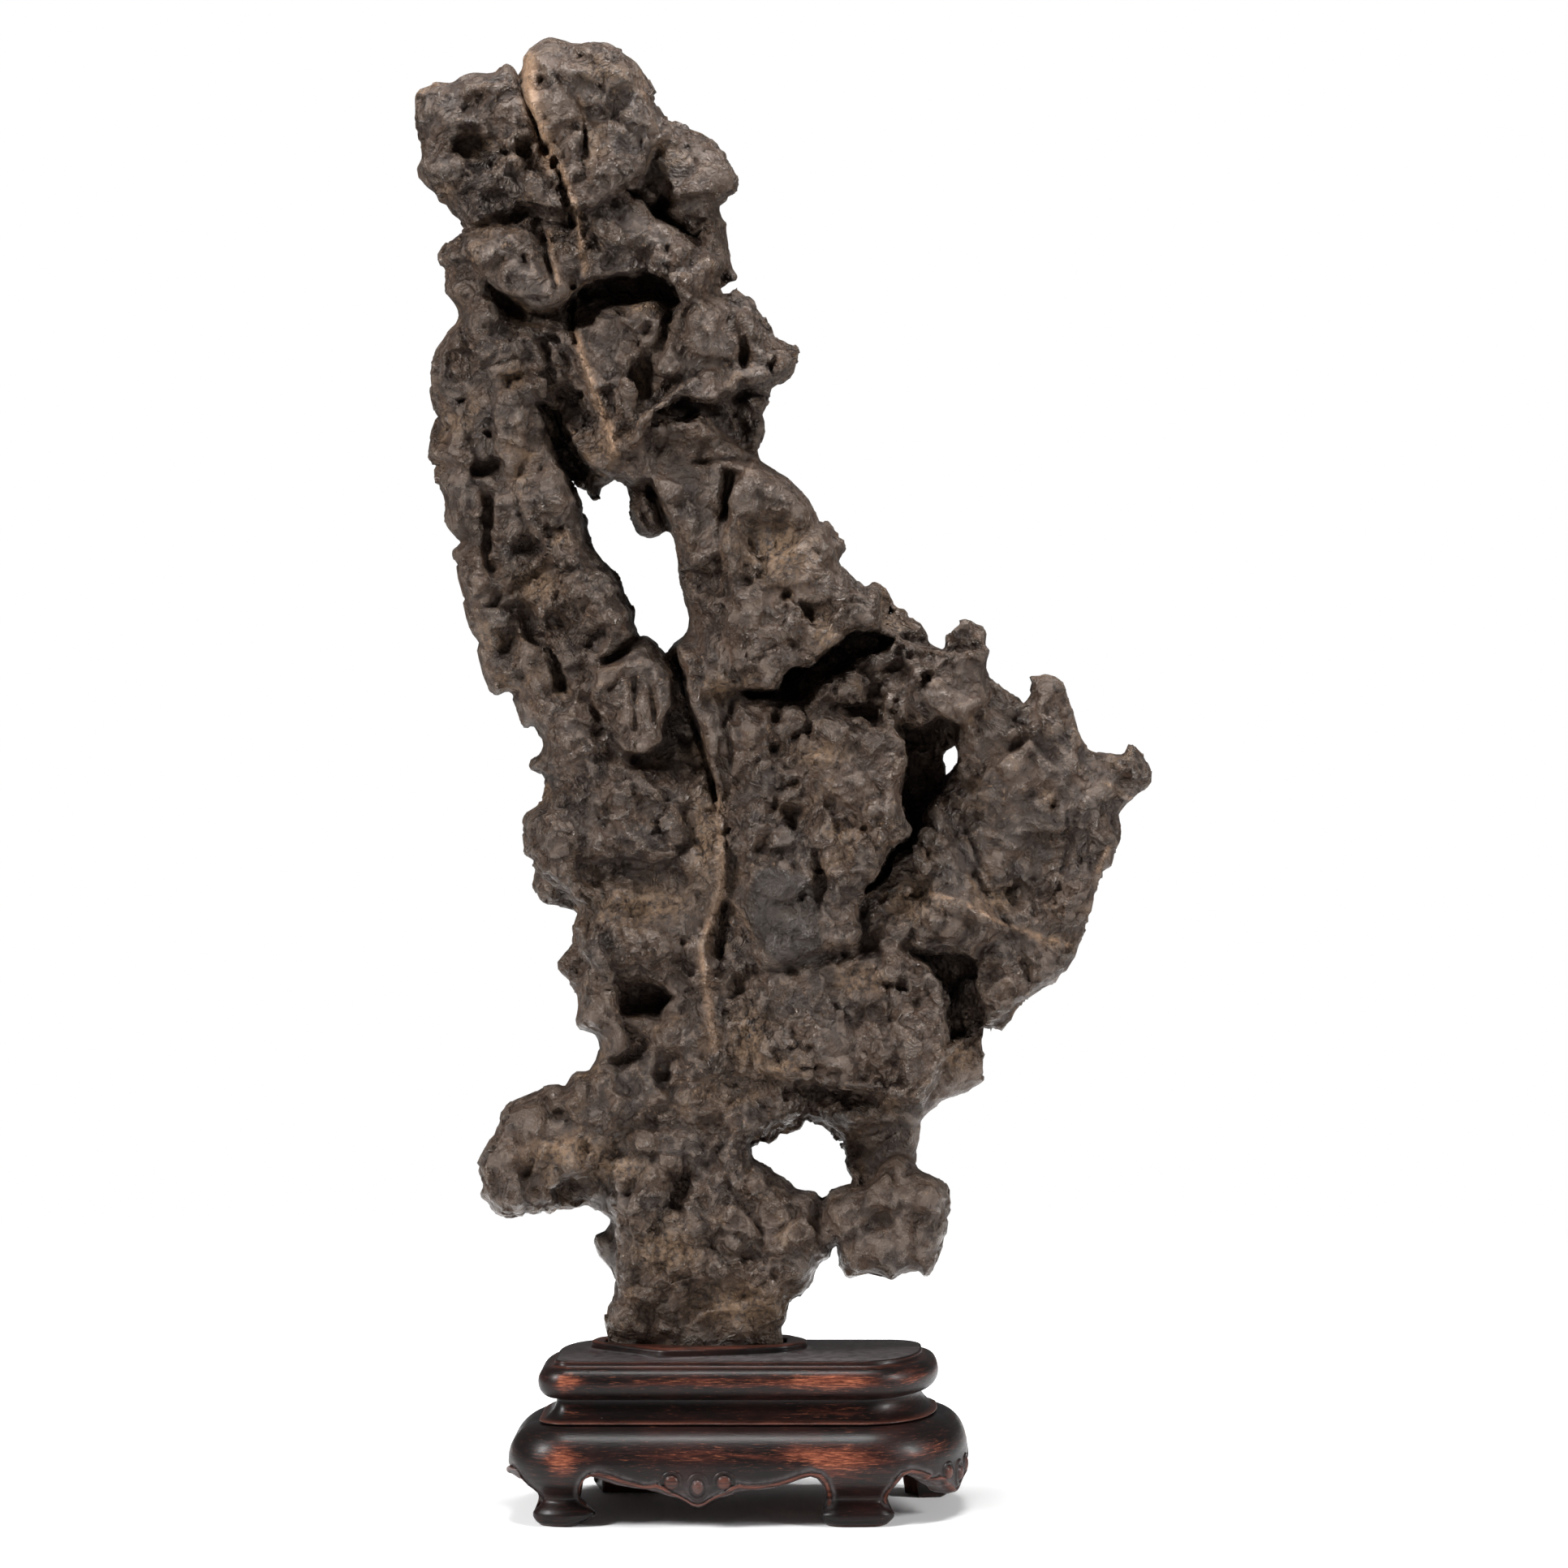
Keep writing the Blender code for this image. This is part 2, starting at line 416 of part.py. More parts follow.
def close_diagonals(inside):
    """Fill cells that touch only along an edge or at a corner, so that the skin has no pinch."""
    for _ in range(12):
        before = inside.sum()
        for a, b in ((0, 1), (0, 2), (1, 2)):
            grid = np.moveaxis(inside, (a, b), (0, 1))
            p, q = grid[:-1, :-1], grid[1:, 1:]
            r, s = grid[1:, :-1], grid[:-1, 1:]
            r |= p & q & ~r & ~s
            p |= r & s & ~p & ~q
        for flip in range(4):
            grid = inside[:, ::-1] if flip & 1 else inside
            grid = grid[:, :, ::-1] if flip & 2 else grid
            p, q = grid[:-1, :-1, :-1], grid[1:, 1:, 1:]
            others = (grid[1:, :-1, :-1] | grid[:-1, 1:, :-1] | grid[:-1, :-1, 1:]
                      | grid[1:, 1:, :-1] | grid[1:, :-1, 1:] | grid[:-1, 1:, 1:])
            grid[1:, :-1, :-1] |= p & q & ~others
            empty = ~p & ~q
            rest = (grid[1:, :-1, :-1] & grid[:-1, 1:, :-1] & grid[:-1, :-1, 1:]
                    & grid[1:, 1:, :-1] & grid[1:, :-1, 1:] & grid[:-1, 1:, 1:])
            grid[:-1, :-1, :-1] |= empty & rest
        if inside.sum() == before:
            break
    return inside


def skin(field, low, step):
    """Closed surface where the field is zero: one point in each mixed cell, one quad round each edge."""
    inside = close_diagonals(field < 0.0)
    field = np.where(inside, np.minimum(field, -0.02 * step), np.maximum(field, 0.02 * step))
    corners = [(i, j, k) for i in (0, 1) for j in (0, 1) for k in (0, 1)]
    size = [n - 1 for n in field.shape]

    def corner(grid, offset):
        i, j, k = offset
        return grid[i:i + size[0], j:j + size[1], k:k + size[2]]

    count = sum(corner(inside, offset).astype(np.int8) for offset in corners)
    mixed = (count > 0) & (count < 8)
    cells = np.argwhere(mixed)
    number = np.full(mixed.shape, -1)
    number[mixed] = np.arange(len(cells))
    values = {offset: corner(field, offset)[mixed] for offset in corners}
    total, crossings = np.zeros((len(cells), 3)), np.zeros(len(cells))
    for a in corners:
        for axis in range(3):
            if a[axis]:
                continue
            b = tuple(1 if n == axis else a[n] for n in range(3))
            fa, fb = values[a], values[b]
            crosses = (fa < 0) != (fb < 0)
            share = np.where(crosses, fa / np.where(crosses, fa - fb, 1.0), 0.0)
            spot = np.tile(np.array(a, float), (len(cells), 1))
            spot[:, axis] = share
            total += np.where(crosses[:, None], spot, 0.0)
            crossings += crosses
    points = (cells + total / crossings[:, None]) * step + np.array(low)

    faces = []
    for axis in range(3):
        b, c = (axis + 1) % 3, (axis + 2) % 3
        first = np.take(inside, range(0, inside.shape[axis] - 1), axis)
        second = np.take(inside, range(1, inside.shape[axis]), axis)
        for solid_first in (True, False):
            where = np.argwhere((first & ~second) if solid_first else (~first & second))
            quad = []
            for shift_b, shift_c in ((-1, -1), (0, -1), (0, 0), (-1, 0)):
                cell = where.copy()
                cell[:, b] += shift_b
                cell[:, c] += shift_c
                quad.append(number[cell[:, 0], cell[:, 1], cell[:, 2]])
            quad = np.stack(quad, 1)
            faces.append(quad if solid_first else quad[:, ::-1])
    return points, np.concatenate(faces)


def make_stone(material):
    columns, rows, edge, front, back = stone_maps()
    maps = (columns, rows, edge, front, back, steepness(front), steepness(back))
    low = (-478.0, -140.0, FOOT_BOTTOM - 1.5 * STONE_CELL)
    high = (480.0, 160.0, 1850.0)
    lines = [np.arange(a, b, STONE_CELL) for a, b in zip(low, high)]
    x, y, z = np.meshgrid(*lines, indexing="ij")
    field = stone_field(x, y, z, maps)
    points, faces = skin(field, low, STONE_CELL)
    stone = add_object("rock", points * UNIT, faces, material)
    keep_largest_body(stone)
    smooth_and_thin(stone)
    return stone


def keep_largest_body(item):
    """Drop crumbs that the field leaves apart from the stone."""
    shape = bmesh.new()
    shape.from_mesh(item.data)
    left = set(shape.verts)
    bodies = []
    while left:
        start = left.pop()
        body, queue = {start}, [start]
        while queue:
            for link in queue.pop().link_edges:
                for vert in link.verts:
                    if vert in left:
                        left.remove(vert)
                        body.add(vert)
                        queue.append(vert)
        bodies.append(body)
    bodies.sort(key=len)
    for body in bodies[:-1]:
        bmesh.ops.delete(shape, geom=list(body), context="VERTS")
    shape.to_mesh(item.data)
    shape.free()


def smooth_and_thin(item):
    """Take the steps of the cells off, then merge triangles where the stone is flattest."""
    smooth = item.modifiers.new("smooth", "SMOOTH")
    smooth.factor = 0.5
    smooth.iterations = 2
    triangles = sum(len(face.vertices) - 2 for face in item.data.polygons)
    thin = item.modifiers.new("thin", "DECIMATE")
    thin.ratio = STONE_TRIANGLES / triangles
    graph = bpy.context.evaluated_depsgraph_get()
    mesh = bpy.data.meshes.new_from_object(item.evaluated_get(graph))
    item.modifiers.clear()
    old = item.data
    item.data = mesh
    bpy.data.meshes.remove(old)
    mesh.name = item.name
    # The bed of the foot is level.
    bed = FOOT_BOTTOM * UNIT
    for vert in mesh.vertices:
        if vert.co.z < bed + 2.5 * UNIT:
            vert.co.z = bed


# ---------------------------------------------------------------- the stand
def top_outline():
    """The flat top's edge, anticlockwise from above: straight sides joined by elliptical corners."""
    (left, near), (right, far) = (TOP_CORNERS[0][:2], TOP_CORNERS[2][:2])
    quarter = np.linspace(0.0, math.pi / 2.0, 13)
    turns = [(1, 1, math.pi), (-1, 1, 1.5 * math.pi), (-1, -1, 0.0), (1, -1, 0.5 * math.pi)]
    points, normals = [], []
    for (x, y, rx, ry), (sx, sy, start) in zip(TOP_CORNERS, turns):
        for angle in start + quarter:
            points.append((x + sx * rx + rx * math.cos(angle), y + sy * ry + ry * math.sin(angle)))
            slope = np.array([math.cos(angle) / rx, math.sin(angle) / ry])
            normals.append(slope / np.linalg.norm(slope))
    return np.array(points), np.array(normals)


def spread(points, normals, count, outset):
    """The same outline with evenly spaced points, spaced as they fall on the mouldings outside it."""
    outer = points + normals * outset
    steps = np.linalg.norm(np.roll(outer, -1, 0) - outer, axis=1)
    travel = np.concatenate([[0.0], np.cumsum(steps)])
    wanted = np.linspace(0.0, travel[-1], count, endpoint=False)
    closed_points = np.vstack([points, points[:1]])
    closed_normals = np.vstack([normals, normals[:1]])
    place = np.stack([np.interp(wanted, travel, closed_points[:, n]) for n in (0, 1)], 1)
    facing = np.stack([np.interp(wanted, travel, closed_normals[:, n]) for n in (0, 1)], 1)
    return place, facing / np.linalg.norm(facing, axis=1)[:, None]


def ring_from_plan(corners, places):
    """A closed plan read along the same directions, from its own centre, as the stand's edge."""
    corners = np.array(corners, float)
    centre = corners.mean(0)
    angles = np.unwrap(np.arctan2(corners[:, 1] - centre[1], corners[:, 0] - centre[0]))
    radii = np.linalg.norm(corners - centre, axis=1)
    order = np.argsort(angles % (2 * math.pi))
    angles, radii = (angles % (2 * math.pi))[order], radii[order]
    span = np.array([240.0, 95.0])
    wanted = np.arctan2(places[:, 1] / span[1] * 60.0, places[:, 0] / span[0] * 130.0) % (2 * math.pi)
    reach = np.interp(wanted, angles, radii, period=2 * math.pi)
    return centre + np.stack([np.cos(wanted), np.sin(wanted)], 1) * reach[:, None]


def distances_along_edge(places, normals):
    """For each column, how far along the edge the nearest leg's middle and apron's middle are."""
    outer = places + normals * 50.0
    steps = np.linalg.norm(np.roll(outer, -1, 0) - outer, axis=1)
    travel = np.concatenate([[0.0], np.cumsum(steps)])
    total = travel[-1]
    stops = sorted(travel[np.argmin(np.hypot(*(outer - np.array(leg)).T))] for leg in LEG_PLACES)
    middles = [(a + b) / 2.0 for a, b in zip(stops, stops[1:] + [stops[0] + total])]

    def nearest(marks):
        gaps = np.abs(travel[:-1, None] - np.array(marks)[None, :])
        return np.minimum(gaps, np.abs(total - gaps)).min(1)

    return nearest(stops), nearest(middles)


def make_stand(material):
    points, normals = top_outline()
    places, facing = spread(points, normals, STAND_COLUMNS, 58.0)
    from_leg, from_middle = distances_along_edge(places, facing)
    low_edge = np.interp(from_leg, [a for a, _ in APRON_EDGE], [b for _, b in APRON_EDGE])
    low_edge = low_edge - np.interp(from_middle, [a for a, _ in ORNAMENT_DROP],
                                    [b for _, b in ORNAMENT_DROP]) * (from_leg > 60.0)
    leg = np.clip((30.0 - low_edge) / 30.0, 0.0, 1.0)[:, None] * (from_leg < 60.0)[:, None]
    knob = ORNAMENT_OUTSET * np.exp(-(from_middle / 16.0) ** 2)

    def ring(plan, height):
        heights = np.broadcast_to(height, (len(plan),))
        return np.column_stack([plan[:, 0], plan[:, 1], heights])

    socket = ring_from_plan(FOOT_PLAN, places)
    middle = socket.mean(0)
    socket = middle + (socket - middle) * (1.0 + 4.0 / np.linalg.norm(socket - middle, axis=1)[:, None])
    collar = ring_from_plan(COLLAR_PLAN, places)
    rings = [
        ring(socket, SOCKET_FLOOR),
        ring(socket, COLLAR_TOP - 3.0),
        ring(socket * 0.75 + collar * 0.25, COLLAR_TOP),
        ring(socket * 0.12 + collar * 0.88, COLLAR_TOP - 0.5),
        ring(collar, COLLAR_TOP - 3.0),
        ring(collar, STAND_TOP),
    ]
    for outset, height in MOULDINGS:
        rings.append(ring(places + facing * outset, height))
    tallest = MOULDINGS[-1][1]
    for (leg_out, leg_height), (apron_out, apron_share) in zip(LEG_PROFILE, APRON_PROFILE):
        apron_height = low_edge + (tallest - low_edge) * apron_share
        out = apron_out * (1.0 - leg[:, 0]) + leg_out * leg[:, 0]
        out = out + knob * (1.0 - leg[:, 0]) * math.sin(math.pi * min(1.0, 1.2 - apron_share))
        height = apron_height * (1.0 - leg[:, 0]) + leg_height * leg[:, 0]
        rings.append(ring(places + facing * out[:, None], height))
    # Inside the aprons and legs, then the underside of the block.
    thickness = APRON_THICKNESS * (1.0 - leg[:, 0]) + LEG_THICKNESS * leg[:, 0]
    inner = places + facing * (54.0 - thickness)[:, None] * 1.0
    inner = inner + (0.0 - inner) * (0.06 * leg)
    rings.append(ring(inner, low_edge))
    rings.append(ring(inner * 0.96, CEILING))
    count = STAND_COLUMNS
    solid = np.vstack(rings + [np.array([[middle[0], middle[1], SOCKET_FLOOR], [0.0, 0.0, CEILING]])])
    solid[:, 0] += STAND_MIDDLE
    faces = []
    for n in range(len(rings) - 1):
        for i in range(count):
            j = (i + 1) % count
            a, b, c, d = n * count + i, n * count + j, (n + 1) * count + j, (n + 1) * count + i
            faces += [(a, d, c), (a, c, b)]
    last = (len(rings) - 1) * count
    for i in range(count):
        j = (i + 1) % count
        faces.append((len(solid) - 2, i, j))
        faces.append((len(solid) - 1, last + j, last + i))
    return add_object("stand", solid * UNIT, np.array(faces), material)


# ---------------------------------------------------------------- put together
def centre_on_footprint(items):
    """Move everything so that the middle of the whole box's underside is the origin."""
    corners = np.array([vert.co for item in items for vert in item.data.vertices])
    low, high = corners.min(0), corners.max(0)
    shift = -np.array([(low[0] + high[0]) / 2.0, (low[1] + high[1]) / 2.0, low[2]])
    for item in items:
        for vert in item.data.vertices:
            vert.co.x += shift[0]
            vert.co.y += shift[1]
            vert.co.z += shift[2]


def main():
    clear_scene()
    stone = make_material("stone", (0.105, 0.085, 0.070), 0.72)
    wood = make_material("wood", (0.035, 0.017, 0.013), 0.38)
    items = [make_stone(stone), make_stand(wood)]
    centre_on_footprint(items)


main()
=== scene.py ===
# %% [markdown]
# # A scholar's rock on its carved stand
# The object is two things that a collector handles apart: a water-worn stone, and a stand carved to
# fit its foot. The frame that this lesson loads holds plain solids of both, at their real size. Here
# each of them gets its real surface. The stone could be sculpted by hand, but then every pit would be
# a click that nobody can repeat. Instead its relief is worked out as numbers on a drawing sheet, so
# that one line moves one ledge. The stand is turned and carved from profiles carried round a plan.

# %% Load the frame
import json
import math

import bpy
import numpy as np
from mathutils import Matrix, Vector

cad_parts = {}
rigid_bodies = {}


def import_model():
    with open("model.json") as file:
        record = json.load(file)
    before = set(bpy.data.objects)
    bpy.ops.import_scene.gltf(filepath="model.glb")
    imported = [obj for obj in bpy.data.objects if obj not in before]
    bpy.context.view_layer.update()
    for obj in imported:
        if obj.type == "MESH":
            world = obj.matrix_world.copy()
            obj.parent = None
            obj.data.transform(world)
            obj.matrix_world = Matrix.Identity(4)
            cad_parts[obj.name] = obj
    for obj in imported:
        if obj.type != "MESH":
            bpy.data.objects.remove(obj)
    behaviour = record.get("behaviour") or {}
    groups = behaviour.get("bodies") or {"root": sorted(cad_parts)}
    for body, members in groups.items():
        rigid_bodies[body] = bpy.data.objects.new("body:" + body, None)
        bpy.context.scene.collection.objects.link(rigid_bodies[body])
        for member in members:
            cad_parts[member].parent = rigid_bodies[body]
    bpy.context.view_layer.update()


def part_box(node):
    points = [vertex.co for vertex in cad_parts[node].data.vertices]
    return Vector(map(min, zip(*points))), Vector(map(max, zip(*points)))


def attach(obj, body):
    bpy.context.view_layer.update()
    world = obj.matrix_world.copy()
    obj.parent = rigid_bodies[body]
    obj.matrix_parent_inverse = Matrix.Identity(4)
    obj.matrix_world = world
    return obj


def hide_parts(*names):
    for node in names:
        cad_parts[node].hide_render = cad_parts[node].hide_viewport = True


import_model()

# %% [markdown]
# ## The drawing sheet
# Both pieces are drawn on one sheet seen from the front. A point on it is (across, down) from the top
# left corner, and a depth is counted towards the viewer from the middle plane in the same unit. The
# sheet is drawn in perspective, as seen by an eye level with its middle, so things in front of the
# middle plane are a little larger on it. The frame's own height sets the size of one unit.

# %% Sheet and unit
SHEET_SIZE = 1932.0
SHEET_TOP, SHEET_FLOOR = 48.0, 1856.5            # rows of the stone's top and of the floor
SHEET_MIDDLE = 966.5                             # column of the object's centre line
VIEW_DISTANCE = 4500.0                           # from the eye to the middle plane, in units
VIEW_ROW = 966.0                                 # row that is level with the eye
UNIT = 0.542 / (SHEET_FLOOR - SHEET_TOP)         # metres to one unit
SHEET_ORIGIN = np.array([0.00074, 0.00065, 0.0])  # where the sheet's centre line stands in the frame
STAND_MIDDLE = 915.0 - SHEET_MIDDLE              # the stand's own centre line


def to_frame(points):
    """Units from the centre line, back and up, turned into metres in the frame."""
    return points * UNIT + SHEET_ORIGIN


print("one unit is", round(UNIT * 1000, 4), "mm")

# %% [markdown]
# ## Camera, floor and light
# A stone like this is shown on a white sweep between two large soft lights, with a third above. The
# camera stands level with the middle of the stone and far away, so that its lens flattens nothing.
# Lamps could be small and many, but big area lights give the long soft sheen that lacquer needs.

# %% Camera
SENSOR = 36.0
camera_data = bpy.data.cameras.new("camera")
camera_data.sensor_width = SENSOR
camera_data.lens = VIEW_DISTANCE / SHEET_SIZE * SENSOR
camera_data.clip_start, camera_data.clip_end = 0.05, 20.0
camera = bpy.data.objects.new("camera", camera_data)
eye_height = SHEET_FLOOR - VIEW_ROW
camera.location = to_frame(np.array([-0.5, -VIEW_DISTANCE, eye_height]))
camera.rotation_euler = (math.radians(90.0), 0.0, 0.0)
bpy.context.scene.collection.objects.link(camera)
bpy.context.scene.camera = camera
print("camera at", tuple(round(v, 3) for v in camera.location), "lens", round(camera_data.lens, 1))

# %% Lights, floor and the white round them
def area_light(name, place, aim, size, power):
    """A soft white light at a place, turned so that it shines at the aim."""
    data = bpy.data.lights.new(name, "AREA")
    data.shape, data.size, data.size_y = "RECTANGLE", size[0], size[1]
    data.energy = power
    lamp = bpy.data.objects.new(name, data)
    way = np.array(aim, float) - np.array(place, float)
    lamp.location = place
    flat = math.hypot(way[0], way[1])
    lamp.rotation_euler = (math.atan2(flat, -way[2]), 0.0, math.atan2(-way[0], way[1]))
    bpy.context.scene.collection.objects.link(lamp)


area_light("soft_left", (-1.20, -0.70, 1.05), (0.0, 0.0, 0.26), (0.35, 0.45), 36.0)
area_light("soft_right", (1.35, -0.45, 0.75), (0.0, 0.0, 0.24), (0.25, 0.5), 20.0)
area_light("soft_top", (0.05, -0.10, 1.55), (0.0, 0.0, 0.30), (0.6, 0.5), 30.0)
print("lamps:", sorted(lamp.name for lamp in bpy.data.lights if lamp.name.startswith("soft")))

# %% Shader nodes in one call
def add_node(tree, kind, sockets=None, **settings):
    """A shader node of a kind. Settings are its own properties; each socket takes a number, a colour
    or another node's output, and is given by its name or its place."""
    node = tree.nodes.new("ShaderNode" + kind)
    for name, value in settings.items():
        setattr(node, name, value)
    for name, value in (sockets or {}).items():
        if isinstance(value, bpy.types.NodeSocket):
            tree.links.new(value, node.inputs[name])
        else:
            node.inputs[name].default_value = value
    return node


def ramp(tree, value, low, high, to_low=0.0, to_high=1.0):
    """A value, drawn out smoothly so that low and high become two other numbers."""
    node = add_node(tree, "MapRange", {
        "Value": value, "From Min": low, "From Max": high, "To Min": to_low, "To Max": to_high,
    }, interpolation_type="SMOOTHSTEP")
    return node.outputs["Result"]

# %% The white room
ROOM_LIGHT = 0.13                                # what the room's white walls send back to the object
world = bpy.data.worlds.new("white_room")
world.use_nodes = True
tree = world.node_tree
tree.nodes["Background"].inputs["Color"].default_value = (1.0, 1.0, 1.0, 1.0)
tree.nodes["Background"].inputs["Strength"].default_value = ROOM_LIGHT
plain_white = add_node(tree, "Background", {"Color": (1.0, 1.0, 1.0, 1.0), "Strength": 1.0})
seen = add_node(tree, "MixShader", {
    0: add_node(tree, "LightPath").outputs["Is Camera Ray"],
    1: tree.nodes["Background"].outputs[0], 2: plain_white.outputs[0]})
tree.links.new(seen.outputs[0], tree.nodes["World Output"].inputs["Surface"])
bpy.context.scene.world = world
bpy.context.scene.view_settings.view_transform = "Standard"
print("room light", ROOM_LIGHT)

# %% A pale floor that fades out before its rim, so that it has no horizon
FLOOR_REACH, FLOOR_FADE = 1.1, (0.35, 1.0)
floor_mesh = bpy.data.meshes.new("floor")
floor_mesh.from_pydata([(x * FLOOR_REACH, y * FLOOR_REACH, 0.0) for x, y in
                        ((-1, -1), (1, -1), (1, 1), (-1, 1))], [], [(0, 1, 2, 3)])
floor = bpy.data.objects.new("floor", floor_mesh)
bpy.context.scene.collection.objects.link(floor)
floor_paint = bpy.data.materials.new("pale_floor")
floor_paint.use_nodes = True
tree = floor_paint.node_tree
tree.nodes["Principled BSDF"].inputs["Base Color"].default_value = (0.96, 0.96, 0.96, 1.0)
tree.nodes["Principled BSDF"].inputs["Roughness"].default_value = 0.9
distance = add_node(tree, "VectorMath", {0: add_node(tree, "TexCoord").outputs["Object"]},
                    operation="LENGTH").outputs["Value"]
fade = add_node(tree, "MixShader", {0: ramp(tree, distance, *FLOOR_FADE),
                                    1: tree.nodes["Principled BSDF"].outputs[0],
                                    2: add_node(tree, "BsdfTransparent").outputs[0]})
tree.links.new(fade.outputs[0], tree.nodes["Material Output"].inputs["Surface"])
floor_mesh.materials.append(floor_paint)
print("floor fades between", FLOOR_FADE, "m from the middle")

# %% [markdown]
# ## Noise, bowls and distances
# Worn stone is never smooth noise. Water and grit leave shallow bowls side by side, with crisp ridges
# where they meet, so a bowl helper sits beside the usual lattice noise. Ledges and cracks are drawn
# as outlines and lines, and the distance to them shapes the relief.

# %% Noise, bowls and plates
def in_table(cell, size):
    """Where a cell is looked up in a table of random numbers that repeats every so many cells."""
    return tuple(np.moveaxis(cell % size, -1, 0))


def lattice_noise(points, size, seed):
    """Smooth noise from -1 to 1: random values on a lattice of the given size, blended in between."""
    table = np.random.default_rng(seed).uniform(-1.0, 1.0, (32, 32, 32)).astype(np.float32)
    low = np.floor(points / size)
    part = points / size - low
    part = part * part * (3.0 - 2.0 * part)
    low = low.astype(int)
    total = 0.0
    for n in range(8):
        step = np.array([n & 1, n >> 1 & 1, n >> 2 & 1])
        weight = np.where(step, part, 1.0 - part).prod(-1)
        total = total + weight * table[in_table(low + step, 32)]
    return total


NEIGHBOURS = np.array([(n % 3 - 1, n // 3 % 3 - 1, n // 9 - 1) for n in range(27)])


def nearest_spots(scaled, spots):
    """Of spots scattered one to a cell, the squared distance to the nearest, and that spot's cell."""
    low = np.floor(scaled).astype(int)
    nearest, winner = np.full(scaled.shape[:-1], 9.0), np.zeros(scaled.shape[:-1], int)
    for n, step in enumerate(NEIGHBOURS):
        cell = low + step
        distance = ((scaled - cell - spots[in_table(cell, 16)]) ** 2).sum(-1)
        winner = np.where(distance < nearest, n, winner)
        nearest = np.minimum(nearest, distance)
    return nearest, low + NEIGHBOURS[winner]


def bowls(points, size, seed):
    """Bowls side by side: the squared distance to the nearest scattered spot, 1 on the ridges."""
    spots = np.random.default_rng(seed).uniform(0.05, 0.95, (16, 16, 16, 3)).astype(np.float32)
    return np.minimum(nearest_spots((points / size).astype(np.float32), spots)[0] * 1.6, 1.0)


def plates(points, size, seed):
    """Flat plates with steps between them: each point takes the height and the lean of the nearest
    scattered spot."""
    rng = np.random.default_rng(seed)
    spots = rng.uniform(0.05, 0.95, (16, 16, 16, 3)).astype(np.float32)
    leans = rng.uniform(-1.0, 1.0, (16, 16, 16, 4)).astype(np.float32)
    scaled = (points / size).astype(np.float32)
    cell = nearest_spots(scaled, spots)[1]
    index = in_table(cell, 16)
    away = scaled - cell - spots[index]
    return leans[index][..., 3] + (away * leans[index][..., :3]).sum(-1)

# %% Distances on the sheet
SHEET_STEP = 2.0
REACH = 44.0                                     # distances are only worked out this near to a line
columns = np.arange(480.0, 1456.0, SHEET_STEP)
rows = np.arange(20.0, 1716.0, SHEET_STEP)
across, down = (table.astype(np.float32) for table in np.meshgrid(columns, rows, indexing="ij"))
WARP_MARGIN = 14.0


def window(low, high, line):
    """The stretch of grid lines that lies between two values."""
    start = np.searchsorted(line, low - WARP_MARGIN)
    return slice(max(start - 1, 0), np.searchsorted(line, high + WARP_MARGIN) + 1)


def line_distance(points, u, v, reach=REACH):
    """Distance from each sheet point to a line of points, no more than the reach."""
    nearest = np.full(u.shape, reach, np.float32)
    for (x0, y0), (x1, y1) in zip(points, points[1:]):
        part = (window(min(x0, x1) - reach, max(x0, x1) + reach, columns),
                window(min(y0, y1) - reach, max(y0, y1) + reach, rows))
        pu, pv = u[part] - x0, v[part] - y0
        ex, ey = x1 - x0, y1 - y0
        share = np.clip((pu * ex + pv * ey) / (ex * ex + ey * ey + 1e-9), 0.0, 1.0)
        nearest[part] = np.minimum(nearest[part], np.hypot(pu - share * ex, pv - share * ey))
    return nearest


def outline_distance(corners, u, v, reach=REACH):
    """Distance to a closed outline, below zero inside it: a point is inside when a line drawn from
    it to one side crosses the outline an odd number of times."""
    ring = list(corners) + [corners[0]]
    inside = np.zeros(u.shape, bool)
    for (x0, y0), (x1, y1) in zip(ring, ring[1:]):
        if y0 != y1:
            part = (slice(None), window(min(y0, y1), max(y0, y1), rows))
            pu, pv = u[part], v[part]
            crosses = (y0 > pv) != (y1 > pv)
            inside[part] ^= crosses & (pu < x0 + (pv - y0) * (x1 - x0) / (y1 - y0))
    nearest = line_distance(ring, u, v, reach)
    return np.where(inside, -nearest, nearest)


def smooth_step(value):
    """0 below 0, 1 above 1, and an S-shaped curve in between."""
    value = np.clip(value, 0.0, 1.0)
    return value * value * (3.0 - 2.0 * value)


def inside_share(corners, u, v, softness, reach=REACH):
    """1 inside an outline and 0 outside it, over an edge of the given softness on either side."""
    return smooth_step(0.5 - outline_distance(corners, u, v, reach) / (2.0 * softness))


sheet_points = np.stack([across, down, np.zeros_like(across)], -1)
print("sheet", across.shape, "steps of", SHEET_STEP)

# %% [markdown]
# ## Shapes written as text
# The tables below are drawn point by point. As Python lists they would be mostly brackets,
# so they are written as text, which is easier to read and to change: a point is across,down. A shape
# has its own numbers before a bar and its points after it. A line without a bar goes on with the
# shape above, and a name before a colon says where on the stone it is.

# %% Reading the tables
def points_of(text):
    """One tuple of numbers for each word of a text."""
    return [tuple(float(number) for number in word.split(",")) for word in text.split()]


def shapes_of(text):
    """One list for each shape of a text: its own numbers, then the list of its points."""
    shapes = []
    for line in text.strip().splitlines():
        if "|" in line:
            own, line = line.split(":")[-1].split("|")
            shapes.append([float(number) for number in own.split()] + [[]])
        shapes[-1][-1].extend(points_of(line))
    return shapes

# %% [markdown]
# ## The stone's outline
# The outline is what a collector knows a stone by: the notched crown, the waist, the wing with its
# teeth, and three openings that let the light through. It is drawn as short straight runs, close
# together where the edge is ragged, and a little noise later takes their straightness off.

